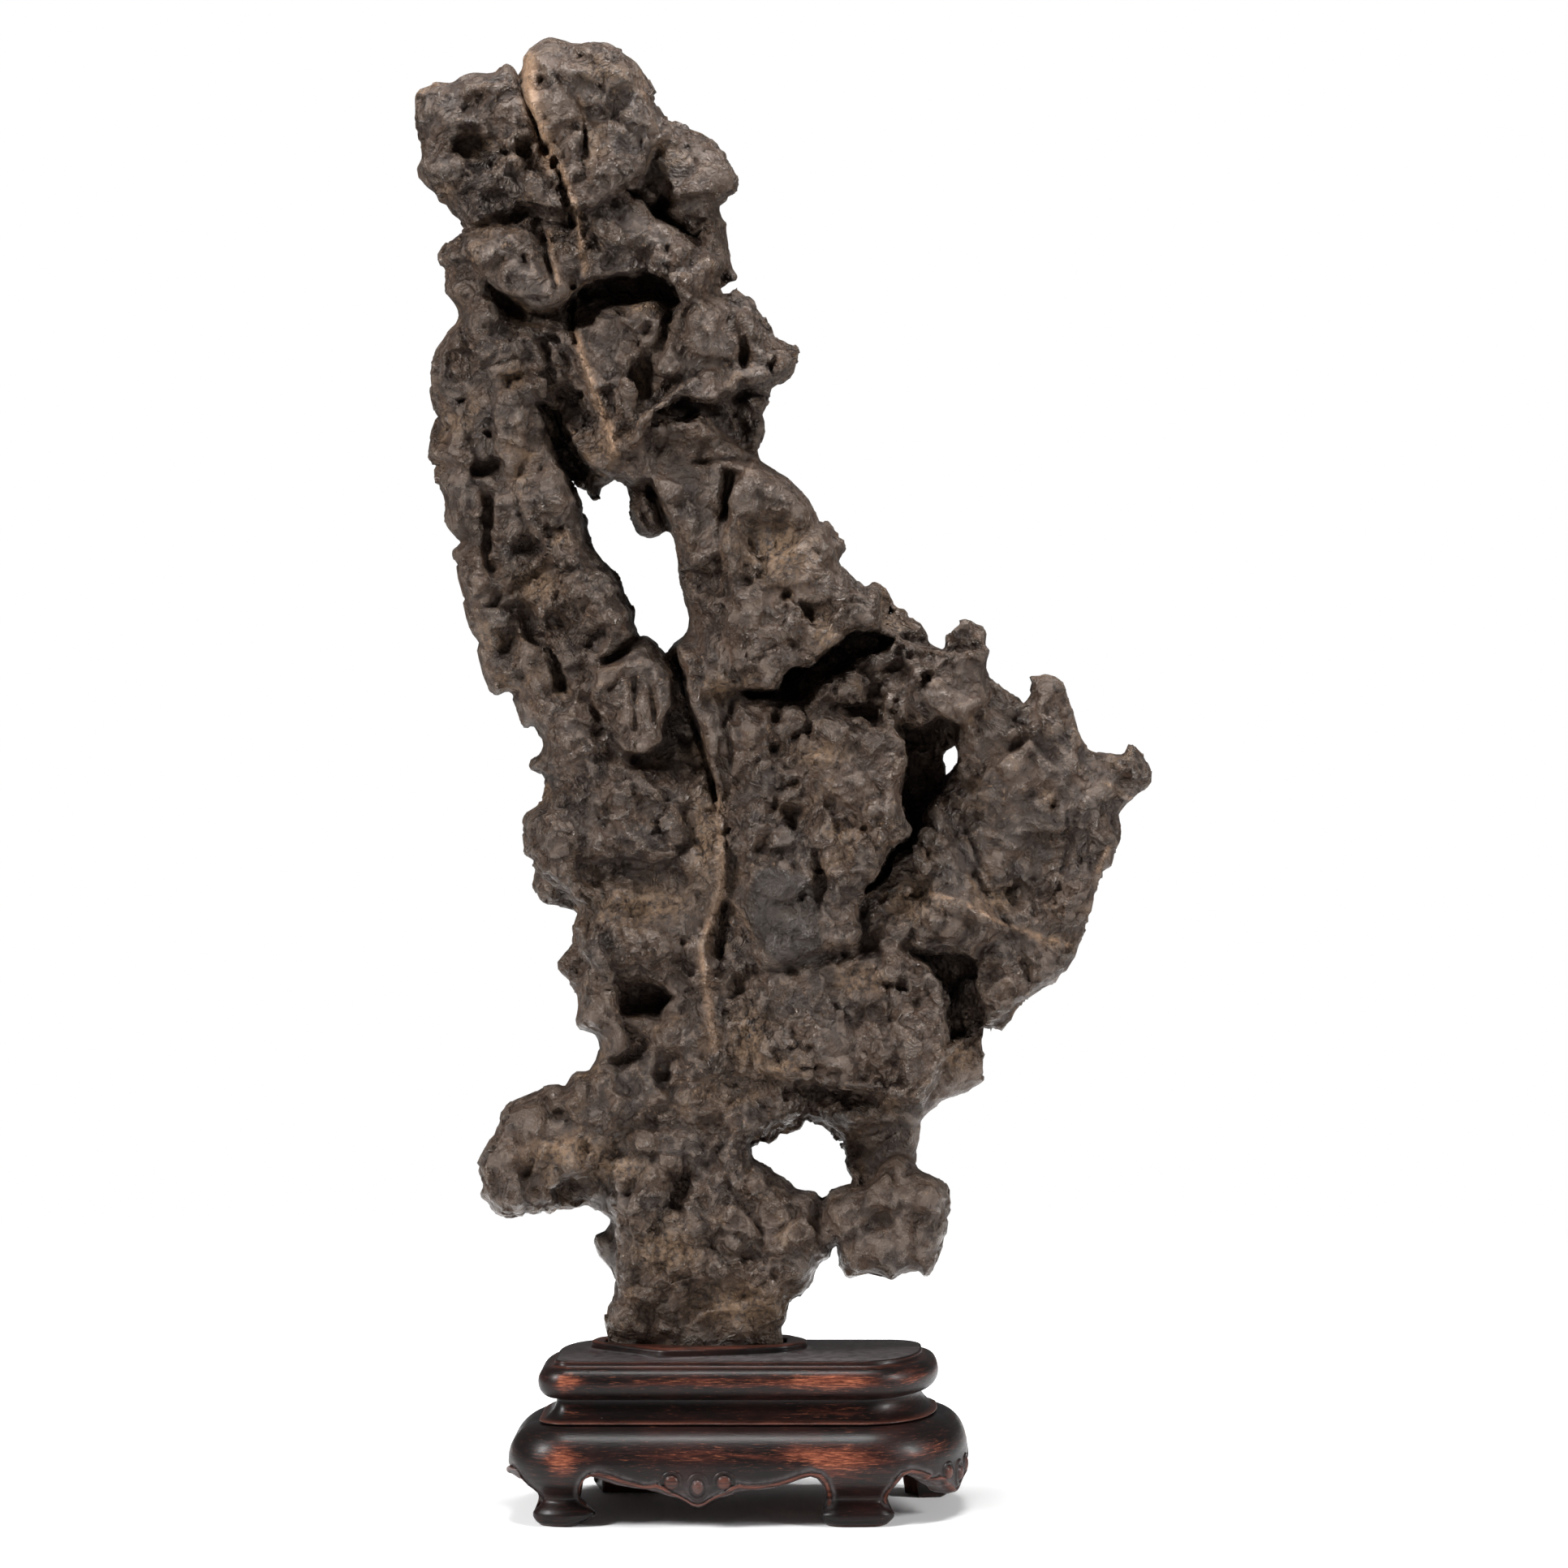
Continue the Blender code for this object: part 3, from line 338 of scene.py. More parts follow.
# %% Outline and openings
STONE_RIGHT = points_of("""
    641,103 642,96 643,88 646,80 645,72 652,61 667,51 677,47 698,51 705,55 736,52 747,53 766,63 783,77
    795,95 806,120 815,143 823,152 834,155 849,161 863,164 875,172 887,183 900,201 908,219 905,233
    903,238 897,238 895,245 887,252 887,259 895,282 899,310 900,322 905,333 909,341 906,346 899,347
    892,354 886,356 886,361 890,365 901,361 906,356 916,365 923,366 931,377 938,391 950,407 952,417
    957,422 970,426 981,427 982,435 974,458 967,466 957,471 949,478 948,497 939,511 942,519 941,531
    934,552 931,557 936,569 945,575 959,583 970,589 987,605 997,617 1004,631 1009,644 1018,643 1023,647
    1028,657 1042,665 1042,677 1033,692 1039,699 1067,726 1072,722 1079,719 1088,722 1098,732 1105,751
    1115,754 1117,759 1126,761 1136,767 1144,785 1141,788 1149,796 1159,802 1165,799 1168,784 1173,775
    1180,771 1183,764 1189,761 1196,764 1214,779 1214,794 1218,803 1215,824 1218,835 1228,842 1235,850
    1249,855 1259,868 1265,861 1271,842 1268,833 1288,831 1300,834 1307,841 1317,866 1329,903 1335,915
    1342,923 1354,927 1379,931 1387,927 1390,919 1394,916 1399,919 1404,927 1413,934 1421,950 1412,966
    1390,987 1377,1004 1381,1026 1373,1058 1371,1068 1361,1073 1354,1080 1347,1112 1336,1152 1327,1167
    1323,1180 1313,1197 1306,1201 1301,1210 1282,1219 1261,1233 1249,1245 1240,1259 1235,1266 1219,1269
    1212,1264 1213,1278 1211,1289 1213,1323 1210,1331 1200,1338 1179,1349 1160,1358 1146,1368 1137,1377
    1132,1405 1129,1419 1129,1439 1139,1446 1159,1450 1166,1457 1169,1477 1161,1526 1151,1561 1146,1571
    1139,1575 1133,1567 1110,1568 1097,1578 1083,1571 1070,1568 1046,1575 1041,1573 1039,1566 1033,1560
    1032,1534 1029,1534 1023,1539 1021,1552 1015,1553 1008,1559 1001,1578 989,1596 981,1597 972,1604
    969,1627 961,1636 962,1700""")
STONE_LEFT = points_of("""
    748,1700 748,1649 745,1638 745,1627 757,1601 760,1587 754,1564 738,1547 732,1531 735,1522 745,1518
    752,1508 752,1503 735,1489 722,1482 712,1488 666,1488 657,1494 650,1491 643,1497 620,1498 613,1496
    601,1481 594,1478 591,1471 596,1461 589,1443 590,1433 600,1408 608,1400 620,1368 625,1361 647,1349
    673,1338 687,1336 696,1341 699,1337 703,1329 711,1321 726,1320 737,1302 739,1286 734,1275 723,1270
    713,1268 709,1259 713,1237 713,1223 710,1222 695,1198 689,1187 697,1177 709,1161 708,1140 712,1120
    706,1121 683,1113 669,1109 661,1099 657,1088 661,1063 656,1057 647,1051 649,1039 646,1012 650,1006
    668,994 674,972 671,959 665,950 654,949 652,942 665,929 669,921 668,912 658,895 646,898 641,888
    633,865 632,855 626,852 613,859 609,857 602,848 595,831 587,801 590,793 581,780 575,757 573,740
    564,708 562,695 557,687 557,678 571,668 561,661 552,652 548,640 549,613 543,602 540,589 541,578
    547,574 533,563 529,555 538,517 542,510 536,496 530,468 530,456 535,433 547,417 552,408 563,398
    567,386 564,378 550,363 547,352 553,333 541,322 540,313 551,299 568,288 576,281 565,268 556,260
    551,252 543,249 541,242 535,235 526,229 517,219 514,207 520,193 519,179 513,154 512,140 514,123
    517,115 535,105 556,103 570,94 584,91 607,91 614,86 622,77 627,78 636,92 639,101""")
GREAT_OPENING = points_of("""
    703,588 711,597 720,603 733,617 737,615 737,603 743,594 758,593 766,596 772,605 778,631 781,645
    788,658 799,665 811,661 821,653 829,661 836,687 839,705 837,720 842,733 850,761 849,771 845,782
    826,799 821,807 808,793 801,785 793,782 788,786 785,774 780,767 781,752 767,731 765,720 738,685
    727,671 728,664 719,640 714,615 705,601""")
LOWER_OPENING = points_of("""
    927,1409 935,1407 946,1409 956,1399 958,1393 973,1393 984,1390 990,1376 997,1377 1000,1382 1013,1384
    1029,1394 1032,1403 1040,1406 1036,1410 1041,1426 1051,1448 1053,1460 1027,1466 1014,1478 1009,1475
    1005,1469 980,1466 962,1449 953,1445 950,1439 930,1427""")
WING_OPENING = points_of("1177,919 1182,934 1173,947 1163,961 1159,970 1166,945 1162,930 1170,925")
PIN_HOLE = points_of("1095,752 1101,753 1102,757 1096,758")

edge = outline_distance(STONE_RIGHT + STONE_LEFT, across, down)
for opening in (GREAT_OPENING, LOWER_OPENING, WING_OPENING, PIN_HOLE):
    edge = np.maximum(edge, -outline_distance(opening, across, down))
print("outline of", len(STONE_RIGHT + STONE_LEFT), "points,", round(float((edge < 0).mean()), 3), "inside")

# %% [markdown]
# ## The front relief
# The front is built up as a mason would rough it out: big blocks first, each laid over the last with
# its own depth and its own lean, then steps cut into them, then round lumps and hollows, then cracks
# and ribs along lines. A displacement picture could hold all this, but nobody could then move a single
# ledge. Here a block is one entry: its depth, how it leans to the right and down, the softness of its
# edge, and its corners.

# %% Blocks of the front
BODY_DEPTH = 52.0
BLOCKS = shapes_of("""
    rear shoulder: 37 0 0.1 6 | 800,120 870,145 920,200 915,245 886,262 890,292 845,286 812,264 768,232
        790,170
    shoulder lobe: 50 0 0.16 6 | 812,200 830,160 880,176 914,212 908,236 885,246 850,240 826,238
    rear fin: -8 0 0.1 6 | 884,250 925,250 925,352 888,352 894,310
    crown block: 60 0.04 0.09 5 | 500,70 641,90 650,140 672,185 690,205 700,262 640,256 600,266 575,284
        500,250
    crown dome: 72 -0.12 0.04 5 | 643,30 770,30 830,110 822,170 790,215 768,232 715,295 700,255 690,225
        672,185 650,140 641,100
    brow: 64 -0.03 0.14 5 | 530,300 575,282 640,268 700,266 768,235 812,262 845,284 872,304 878,330
        852,372 834,378 824,352 800,338 722,352 699,366 686,377 669,384 652,381 639,371 623,360 600,350
        565,352 530,330
    left shoulder: 46 0.1 0.12 6 | 540,300 575,300 600,352 590,385 560,392 545,350
    cave under brow: 14 0 0.55 8 | 604,352 624,362 639,373 652,383 669,386 686,379 699,368 722,354
        800,340 828,354 838,384 832,418 820,420 806,372 760,376 716,408 690,416 650,404 620,388
    cave slit: -6 0 0 4 | 708,360 745,350 800,337 828,352 832,376 818,372 800,362 760,364 716,376
    left column: 50 0.08 0 8 | 520,420 600,398 660,410 700,430 706,470 668,496 690,560 715,620 760,720
        786,782 730,812 690,816 640,760 560,690 520,560
    box lump: 56 0.02 0.08 5 | 712,400 760,376 800,368 816,378 820,404 795,430 778,470 779,505 788,540
        757,562 740,500 722,452
    neck left: 40 0.1 0.05 6 | 660,420 704,408 720,452 738,501 754,545 730,570 700,545 682,500
    right mass: 58 -0.1 0.06 6 | 828,380 860,372 910,356 950,400 958,424 915,446 880,458 840,470 815,455
        822,420
    ridge ledge: 72 0 0.5 4 | 775,548 784,515 815,488 860,466 915,446 940,432 990,418 990,445 955,472
        915,474 900,484 878,492 850,490 815,503 800,520 796,548
    hollow under ledge: 6 0 0.25 6 | 806,507 850,493 878,495 900,488 950,476 950,545 915,552 885,530
        862,514 840,520 805,524
    throat: 62 0.02 0.06 7 | 776,548 796,522 840,522 862,516 884,532 914,556 904,590 896,640 888,690
        846,706 832,665 822,650 812,600 790,570
    left cleft: -20 0 0 6 | 668,498 688,505 704,548 722,570 745,590 738,618 705,590 684,555
    hanging lump: 8 -0.2 0.15 5 | 765,590 792,592 812,620 826,650 828,668 796,675 774,640
    hanging slit: -16 0 0 4 | 796,596 806,592 826,648 818,656
    right arm: 84 -0.06 0.04 8 | 904,575 932,562 985,580 1020,640 1068,715 1095,748 1100,775 1085,770
        1058,773 1032,793 1018,806 998,816 975,816 966,830 955,850 912,853 905,800 897,740 890,700
        897,640
    arm upper hood: 92 -0.05 0 5 | 904,590 925,566 985,588 1004,620 1000,650 975,640 950,630 910,636
        902,610
    arm left flank: 60 0.5 0 6 | 844,706 892,692 900,760 910,850 880,850 858,800 850,760
    rear knob: -4 0 0.1 4 | 1012,640 1055,650 1055,690 1034,692 1018,664
    rear lobe: 4 0 0.12 4 | 1066,712 1110,712 1160,765 1150,800 1122,792 1087,768 1080,745
    wing: 26 0.03 0.02 8 | 1125,796 1150,796 1230,740 1440,880 1440,1000 1330,1200 1230,1290 1200,1240
        1185,1180 1120,1170 1085,1130 1085,1088 1122,1046 1150,980 1176,900 1140,886
    wing root: 44 0.14 0.06 8 | 1066,1100 1088,1080 1120,1046 1140,1018 1170,1040 1210,1110 1240,1150
        1190,1172 1120,1168 1060,1160 1040,1130
    bridge: 54 -0.06 0.16 6 | 985,860 1008,834 1048,820 1091,794 1150,800 1215,800 1216,862 1180,890
        1112,890 1040,884 1000,900
    cave under arm: -26 0 0.3 6 | 914,856 955,853 966,833 975,818 998,818 1032,796 1058,776 1085,773
        1105,786 1091,795 1048,820 1012,836 990,862 970,872 925,868
    slot beside wing: -60 0 0 5 | 1113,893 1112,946 1115,1000 1119,1019 1089,1059 1066,1099 1085,1084
        1122,1048 1136,1016 1158,975 1178,930 1177,896 1160,889
    front body: 70 0.05 0.02 10 | 920,880 985,872 1010,880 1108,893 1108,1010 1080,1060 1050,1100
        1060,1160 940,1190 900,1100 925,960
    body left: 58 -0.03 0.02 9 | 690,860 735,822 760,926 772,946 850,946 876,985 886,1060 870,1150
        760,1200 690,1200 640,1050 640,900
    shield: 72 -0.05 0.05 4 | 735,822 790,802 822,822 829,870 818,906 796,922 772,926 752,900 740,880
        728,845
    recess by shield: 26 0 0.1 5 | 822,808 836,802 848,850 860,900 868,944 800,946 774,944 778,928
        798,924 820,908 831,870
    fissure blade: 62 -0.25 0 4 | 838,800 860,806 876,850 890,900 902,956 886,984 874,940 860,900
        848,860
    lower slab: 75 0.02 0.12 7 | 930,1205 985,1190 1060,1176 1142,1186 1158,1208 1160,1251 1171,1290
        1169,1318 1141,1363 1109,1358 1072,1345 1039,1338 985,1334 935,1322
    recess by slab: -40 0 0.1 5 | 1125,1173 1185,1174 1198,1195 1206,1230 1212,1262 1186,1290 1166,1310
        1140,1366 1190,1350 1230,1330 1230,1270 1166,1290 1158,1208 1142,1186
    rear post: -14 -0.1 0.1 6 | 1172,1300 1198,1270 1230,1262 1230,1330 1190,1352 1130,1385 1100,1362
        1140,1364
    underside of slab: 20 0 0.2 6 | 985,1336 1039,1341 1072,1348 1109,1361 1141,1366 1135,1385 1060,1400
        1010,1390 985,1372
    stem: 8 0 0 7 | 1030,1394 1140,1382 1140,1430 1092,1434 1058,1456 1045,1440
    toe block: 60 -0.04 0.05 6 | 1020,1490 1060,1458 1095,1438 1132,1434 1180,1455 1175,1590 1030,1590
        1034,1530
    left rear flap: -4 0 0 5 | 640,1050 660,1064 684,1090 706,1106 714,1124 640,1130
    left rear tooth: -4 0 0 5 | 680,1160 708,1164 728,1192 716,1226 680,1220
    lower left cave: 16 -0.45 0.1 7 | 764,1214 780,1206 796,1210 824,1228 810,1246 768,1248
    root lobe: 62 0.1 0.08 8 | 570,1380 640,1330 700,1336 745,1300 765,1350 740,1425 700,1470 670,1510
        570,1510
    undercut by root: 20 0 -0.3 8 | 680,1470 716,1446 748,1444 752,1486 690,1500
    rear toe: 2 0 0 5 | 725,1500 756,1496 764,1540 752,1572 725,1560""")


def lay_blocks(relief, blocks, u, v):
    """Each block is a leaning plane inside its outline, blended in over the softness of its edge."""
    for depth, lean_across, lean_down, softness, corners in blocks:
        middle = np.mean(corners, axis=0)
        plane = depth + lean_across * (u - middle[0]) + lean_down * (v - middle[1])
        relief = relief + (plane - relief) * inside_share(corners, u, v, softness)
    return relief


# The edges of the blocks wander a little, at two sizes, as broken stone does.
warp_across = 6.0 * lattice_noise(sheet_points, 27.0, 31) + 1.8 * lattice_noise(sheet_points, 11.0, 32)
warp_down = 6.0 * lattice_noise(sheet_points, 27.0, 33) + 1.8 * lattice_noise(sheet_points, 11.0, 34)
warped_across, warped_down = across + warp_across, down + warp_down
front = lay_blocks(np.full(across.shape, BODY_DEPTH), BLOCKS, warped_across, warped_down)
print(len(BLOCKS), "blocks, depths", round(float(front.min())), "to", round(float(front.max())))

# %% [markdown]
# ## Steps, lumps and cracks
# On the blocks lie smaller things that still catch the light one by one: flat steps a few units high,
# round lumps and hollows, cracks, and ribs where a hard vein stands proud. Each kind has its own short
# recipe, and each entry is given its own place.

# %% Steps
# Each step is (height, softness, corners); a height below zero is a recess.
STEPS = shapes_of("""
    crown's left block: 5 3 | 517,113 560,98 614,84 634,90 640,108 590,112 545,122
    6 3 | 606,128 630,122 648,134 657,152 656,166 641,167 627,148
    -6 3 | 582,116 600,115 602,127 590,134
    5 3 | 535,138 556,130 578,136 600,150 570,160 546,156
    -11 5 | 560,172 588,167 612,172 628,190 618,206 585,212 562,198
    -6 4 | 632,168 662,168 672,184 668,200 640,200 630,184
    15 4 | 648,214 668,202 682,206 695,236 697,258 680,262 655,256 644,240
    -12 8 | 540,228 590,226 640,250 655,262 640,276 585,284 552,262
    the dome and the brow: -5 4 | 668,62 708,66 742,82 716,88 680,78
    -8 4 | 664,92 676,96 680,112 668,110
    6 4 | 662,118 700,108 716,130 706,158 680,150
    -8 5 | 722,158 728,160 726,196 719,194
    -9 5 | 575,276 640,266 700,268 704,282 640,284 590,292
    8 4 | 730,262 775,246 812,266 845,288 866,306 820,322 770,300 740,296
    -10 5 | 700,330 716,330 718,356 698,364
    7 4 | 620,330 650,322 680,336 696,352 669,380 640,368 622,352
    8 4 | 828,300 860,300 880,322 862,352 838,348 824,326
    10 4 | 820,330 846,338 856,372 838,386 826,360
    left column: 10 4 | 544,402 566,400 568,428 548,436 538,424
    8 4 | 612,496 640,484 656,500 650,540 634,590 616,588 610,540
    -12 4 | 618,462 636,456 646,470 640,486 624,482
    -14 4 | 532,524 556,524 560,540 548,554 534,548
    -16 4 | 584,562 604,560 614,572 616,588 588,590 578,578
    9 4 | 566,602 590,600 596,624 584,640 566,632
    -16 4 | 592,610 604,606 606,660 600,700 592,690
    7 4 | 606,610 632,606 640,650 630,666 610,660
    6 5 | 640,590 690,582 716,620 722,662 700,690 660,690 646,640
    10 4 | 672,664 708,654 716,676 704,694 682,690
    -10 4 | 596,692 616,690 618,706 600,706
    8 5 | 558,676 592,676 604,720 600,748 576,750 562,706
    -8 5 | 580,748 636,740 648,766 650,800 620,830 596,820 584,780
    -10 4 | 610,776 630,770 646,784 640,806 616,806
    -20 5 | 640,742 656,752 672,772 690,806 696,850 684,852 676,818 650,786
    8 4 | 690,704 740,700 780,752 776,770 740,766 716,742 694,744
    -12 4 | 672,760 690,752 698,770 688,786 674,782
    -12 4 | 724,774 740,770 750,784 738,800 722,796
    -20 4 | 740,808 760,796 786,780 792,790 770,800 744,816
    -10 4 | 604,836 640,832 664,862 660,890 640,898 628,860
    neck and box lump: 10 3 | 760,392 790,380 812,388 818,408 798,428 780,414
    -8 3 | 776,408 796,392 804,398 784,424
    8 3 | 764,440 778,436 776,486 764,480
    -10 4 | 690,480 722,478 730,510 712,530 694,516
    9 3 | 806,452 826,426 838,436 846,456 824,466
    -10 4 | 790,440 806,452 800,480 784,500 778,470
    8 4 | 850,384 900,372 930,392 940,412 905,440 870,440 848,420
    -14 4 | 913,420 921,418 922,446 919,458 912,448
    -16 4 | 942,448 950,446 950,466 944,468
    8 4 | 955,436 975,424 984,430 976,458 960,464
    7 3 | 800,530 820,520 850,520 868,512 885,530 878,540 850,548 820,546 802,548
    arms: -18 3 | 893,602 898,580 912,574 914,584 900,600 898,640 890,640
    -9 5 | 930,606 975,596 978,614 960,628 934,630
    -6 5 | 908,640 1000,655 1010,690 960,720 915,700
    9 4 | 980,668 1006,650 1014,666 1000,678
    7 4 | 944,680 980,672 1024,690 1064,726 1060,744 1020,744 986,740 950,716
    7 4 | 896,742 930,738 938,780 930,806 908,806 896,780
    -12 4 | 968,728 980,730 978,740 966,740
    -12 4 | 988,744 1000,744 1014,752 1004,764 990,760
    9 4 | 1002,764 1026,770 1034,790 1016,808 996,800 992,780
    12 5 | 912,820 945,815 966,826 958,848 916,850
    -14 5 | 856,702 884,706 886,726 860,728
    10 4 | 872,826 890,824 902,850 888,862 872,850
    bridge and wing: 9 4 | 1020,836 1048,826 1064,840 1062,862 1034,866 1018,856
    -8 4 | 1066,838 1086,846 1086,862 1070,868
    -16 5 | 1034,872 1060,866 1085,872 1080,888 1050,890
    -8 4 | 1130,804 1150,802 1152,822 1132,826
    -14 3 | 1134,832 1148,830 1150,846 1136,850
    7 4 | 1172,776 1190,764 1212,780 1212,790 1174,796
    -6 3 | 1160,800 1216,794 1214,802 1162,808
    -8 4 | 1192,876 1206,870 1206,890 1192,896
    8 4 | 1180,868 1200,862 1216,872 1196,902 1184,896
    10 4 | 1114,900 1136,896 1142,912 1134,926 1114,926
    8 3 | 1152,990 1164,1000 1178,1034 1166,1040 1154,1016
    10 4 | 1126,1042 1138,1040 1146,1066 1130,1078 1120,1062
    -12 3 | 1136,1038 1144,1046 1146,1064 1140,1062
    -10 4 | 1122,1094 1136,1092 1142,1104 1124,1104
    5 3 | 1142,1100 1200,1106 1240,1112 1320,1160 1316,1180 1240,1150 1160,1118
    -10 4 | 1000,1040 1012,1040 1012,1076 1002,1072
    body: -16 4 | 961,1000 974,992 982,1002 976,1018 962,1012
    -12 3 | 952,874 960,872 962,888 954,892
    -12 3 | 952,918 962,916 960,926 954,928
    -10 4 | 944,986 958,980 956,996 946,998
    8 4 | 900,884 930,870 950,890 950,930 930,962 908,954 900,920
    -14 4 | 892,858 904,862 906,888 898,884
    10 5 | 985,930 1050,935 1075,960 1090,1000 1070,1010 1030,980 996,950
    5 4 | 918,1062 950,1066 985,1050 1000,1095 1015,1155 1010,1185 960,1188 930,1150 912,1120
    -8 5 | 896,1050 914,1060 928,1070 918,1100 900,1110 894,1090
    -10 4 | 1002,1060 1014,1056 1020,1112 1008,1120
    -8 4 | 1036,1096 1050,1092 1056,1106 1040,1116
    -10 4 | 1052,1130 1062,1126 1064,1140 1054,1142
    -8 3 | 1056,1164 1082,1160 1084,1168 1058,1172
    10 6 | 672,1000 704,1006 716,1036 700,1060 668,1054 656,1028
    8 5 | 720,940 770,946 800,960 836,1000 830,1056 790,1060 760,1016 730,990
    -12 8 | 700,1066 760,1058 830,1064 850,1078 844,1100 760,1096 706,1090
    6 4 | 716,1148 760,1136 810,1140 826,1160 824,1190 780,1198 730,1190
    9 3 | 806,1158 820,1150 826,1174 812,1182
    -10 4 | 790,946 830,944 852,952 842,962 800,958
    -12 4 | 838,906 852,910 850,932 838,930
    column under the body: 9 5 | 714,1220 740,1236 764,1262 766,1290 748,1302 734,1272 712,1262
    -14 5 | 764,1262 780,1266 800,1280 780,1310 758,1312 752,1300 770,1290
    6 5 | 806,1268 856,1266 866,1286 830,1296 806,1290
    -12 6 | 810,1296 850,1296 852,1340 830,1352 808,1336
    7 5 | 752,1352 784,1350 788,1376 766,1384 750,1372
    6 4 | 732,1306 752,1304 764,1314 752,1350 738,1340
    -12 4 | 668,1352 690,1346 698,1364 686,1378 672,1374
    10 6 | 580,1420 620,1370 660,1368 676,1410 660,1460 640,1496 600,1480
    8 4 | 770,1398 860,1396 886,1402 876,1430 830,1424 780,1420
    9 5 | 756,1430 800,1430 824,1450 822,1480 806,1500 770,1490 756,1460
    -14 5 | 824,1446 850,1440 856,1470 840,1496 820,1490 824,1466
    8 5 | 896,1390 920,1380 950,1400 930,1440 900,1440 886,1420
    -10 4 | 770,1500 776,1520 768,1544 762,1530
    8 5 | 866,1440 930,1440 990,1480 1000,1520 960,1550 900,1540 870,1500
    hollows round the foot: -10 4 | 846,1580 884,1576 884,1606 866,1616 846,1606
    -12 4 | 892,1578 916,1578 922,1598 900,1602 888,1594
    -10 4 | 788,1608 806,1606 814,1622 802,1640 788,1632
    -12 4 | 868,1624 898,1620 900,1642 880,1650 864,1640
    -12 4 | 922,1612 948,1610 950,1632 930,1640 920,1630
    -8 4 | 820,1616 834,1614 838,1640 824,1644
    8 4 | 752,1580 770,1576 776,1640 760,1648 750,1630
    9 5 | 1100,1440 1150,1446 1164,1470 1160,1500 1120,1490 1100,1470
    -8 4 | 1060,1490 1090,1486 1096,1510 1066,1520""")
for height, softness, corners in STEPS:
    front = front + height * inside_share(corners, warped_across, warped_down, softness, 16.0)
print(len(STEPS), "steps")

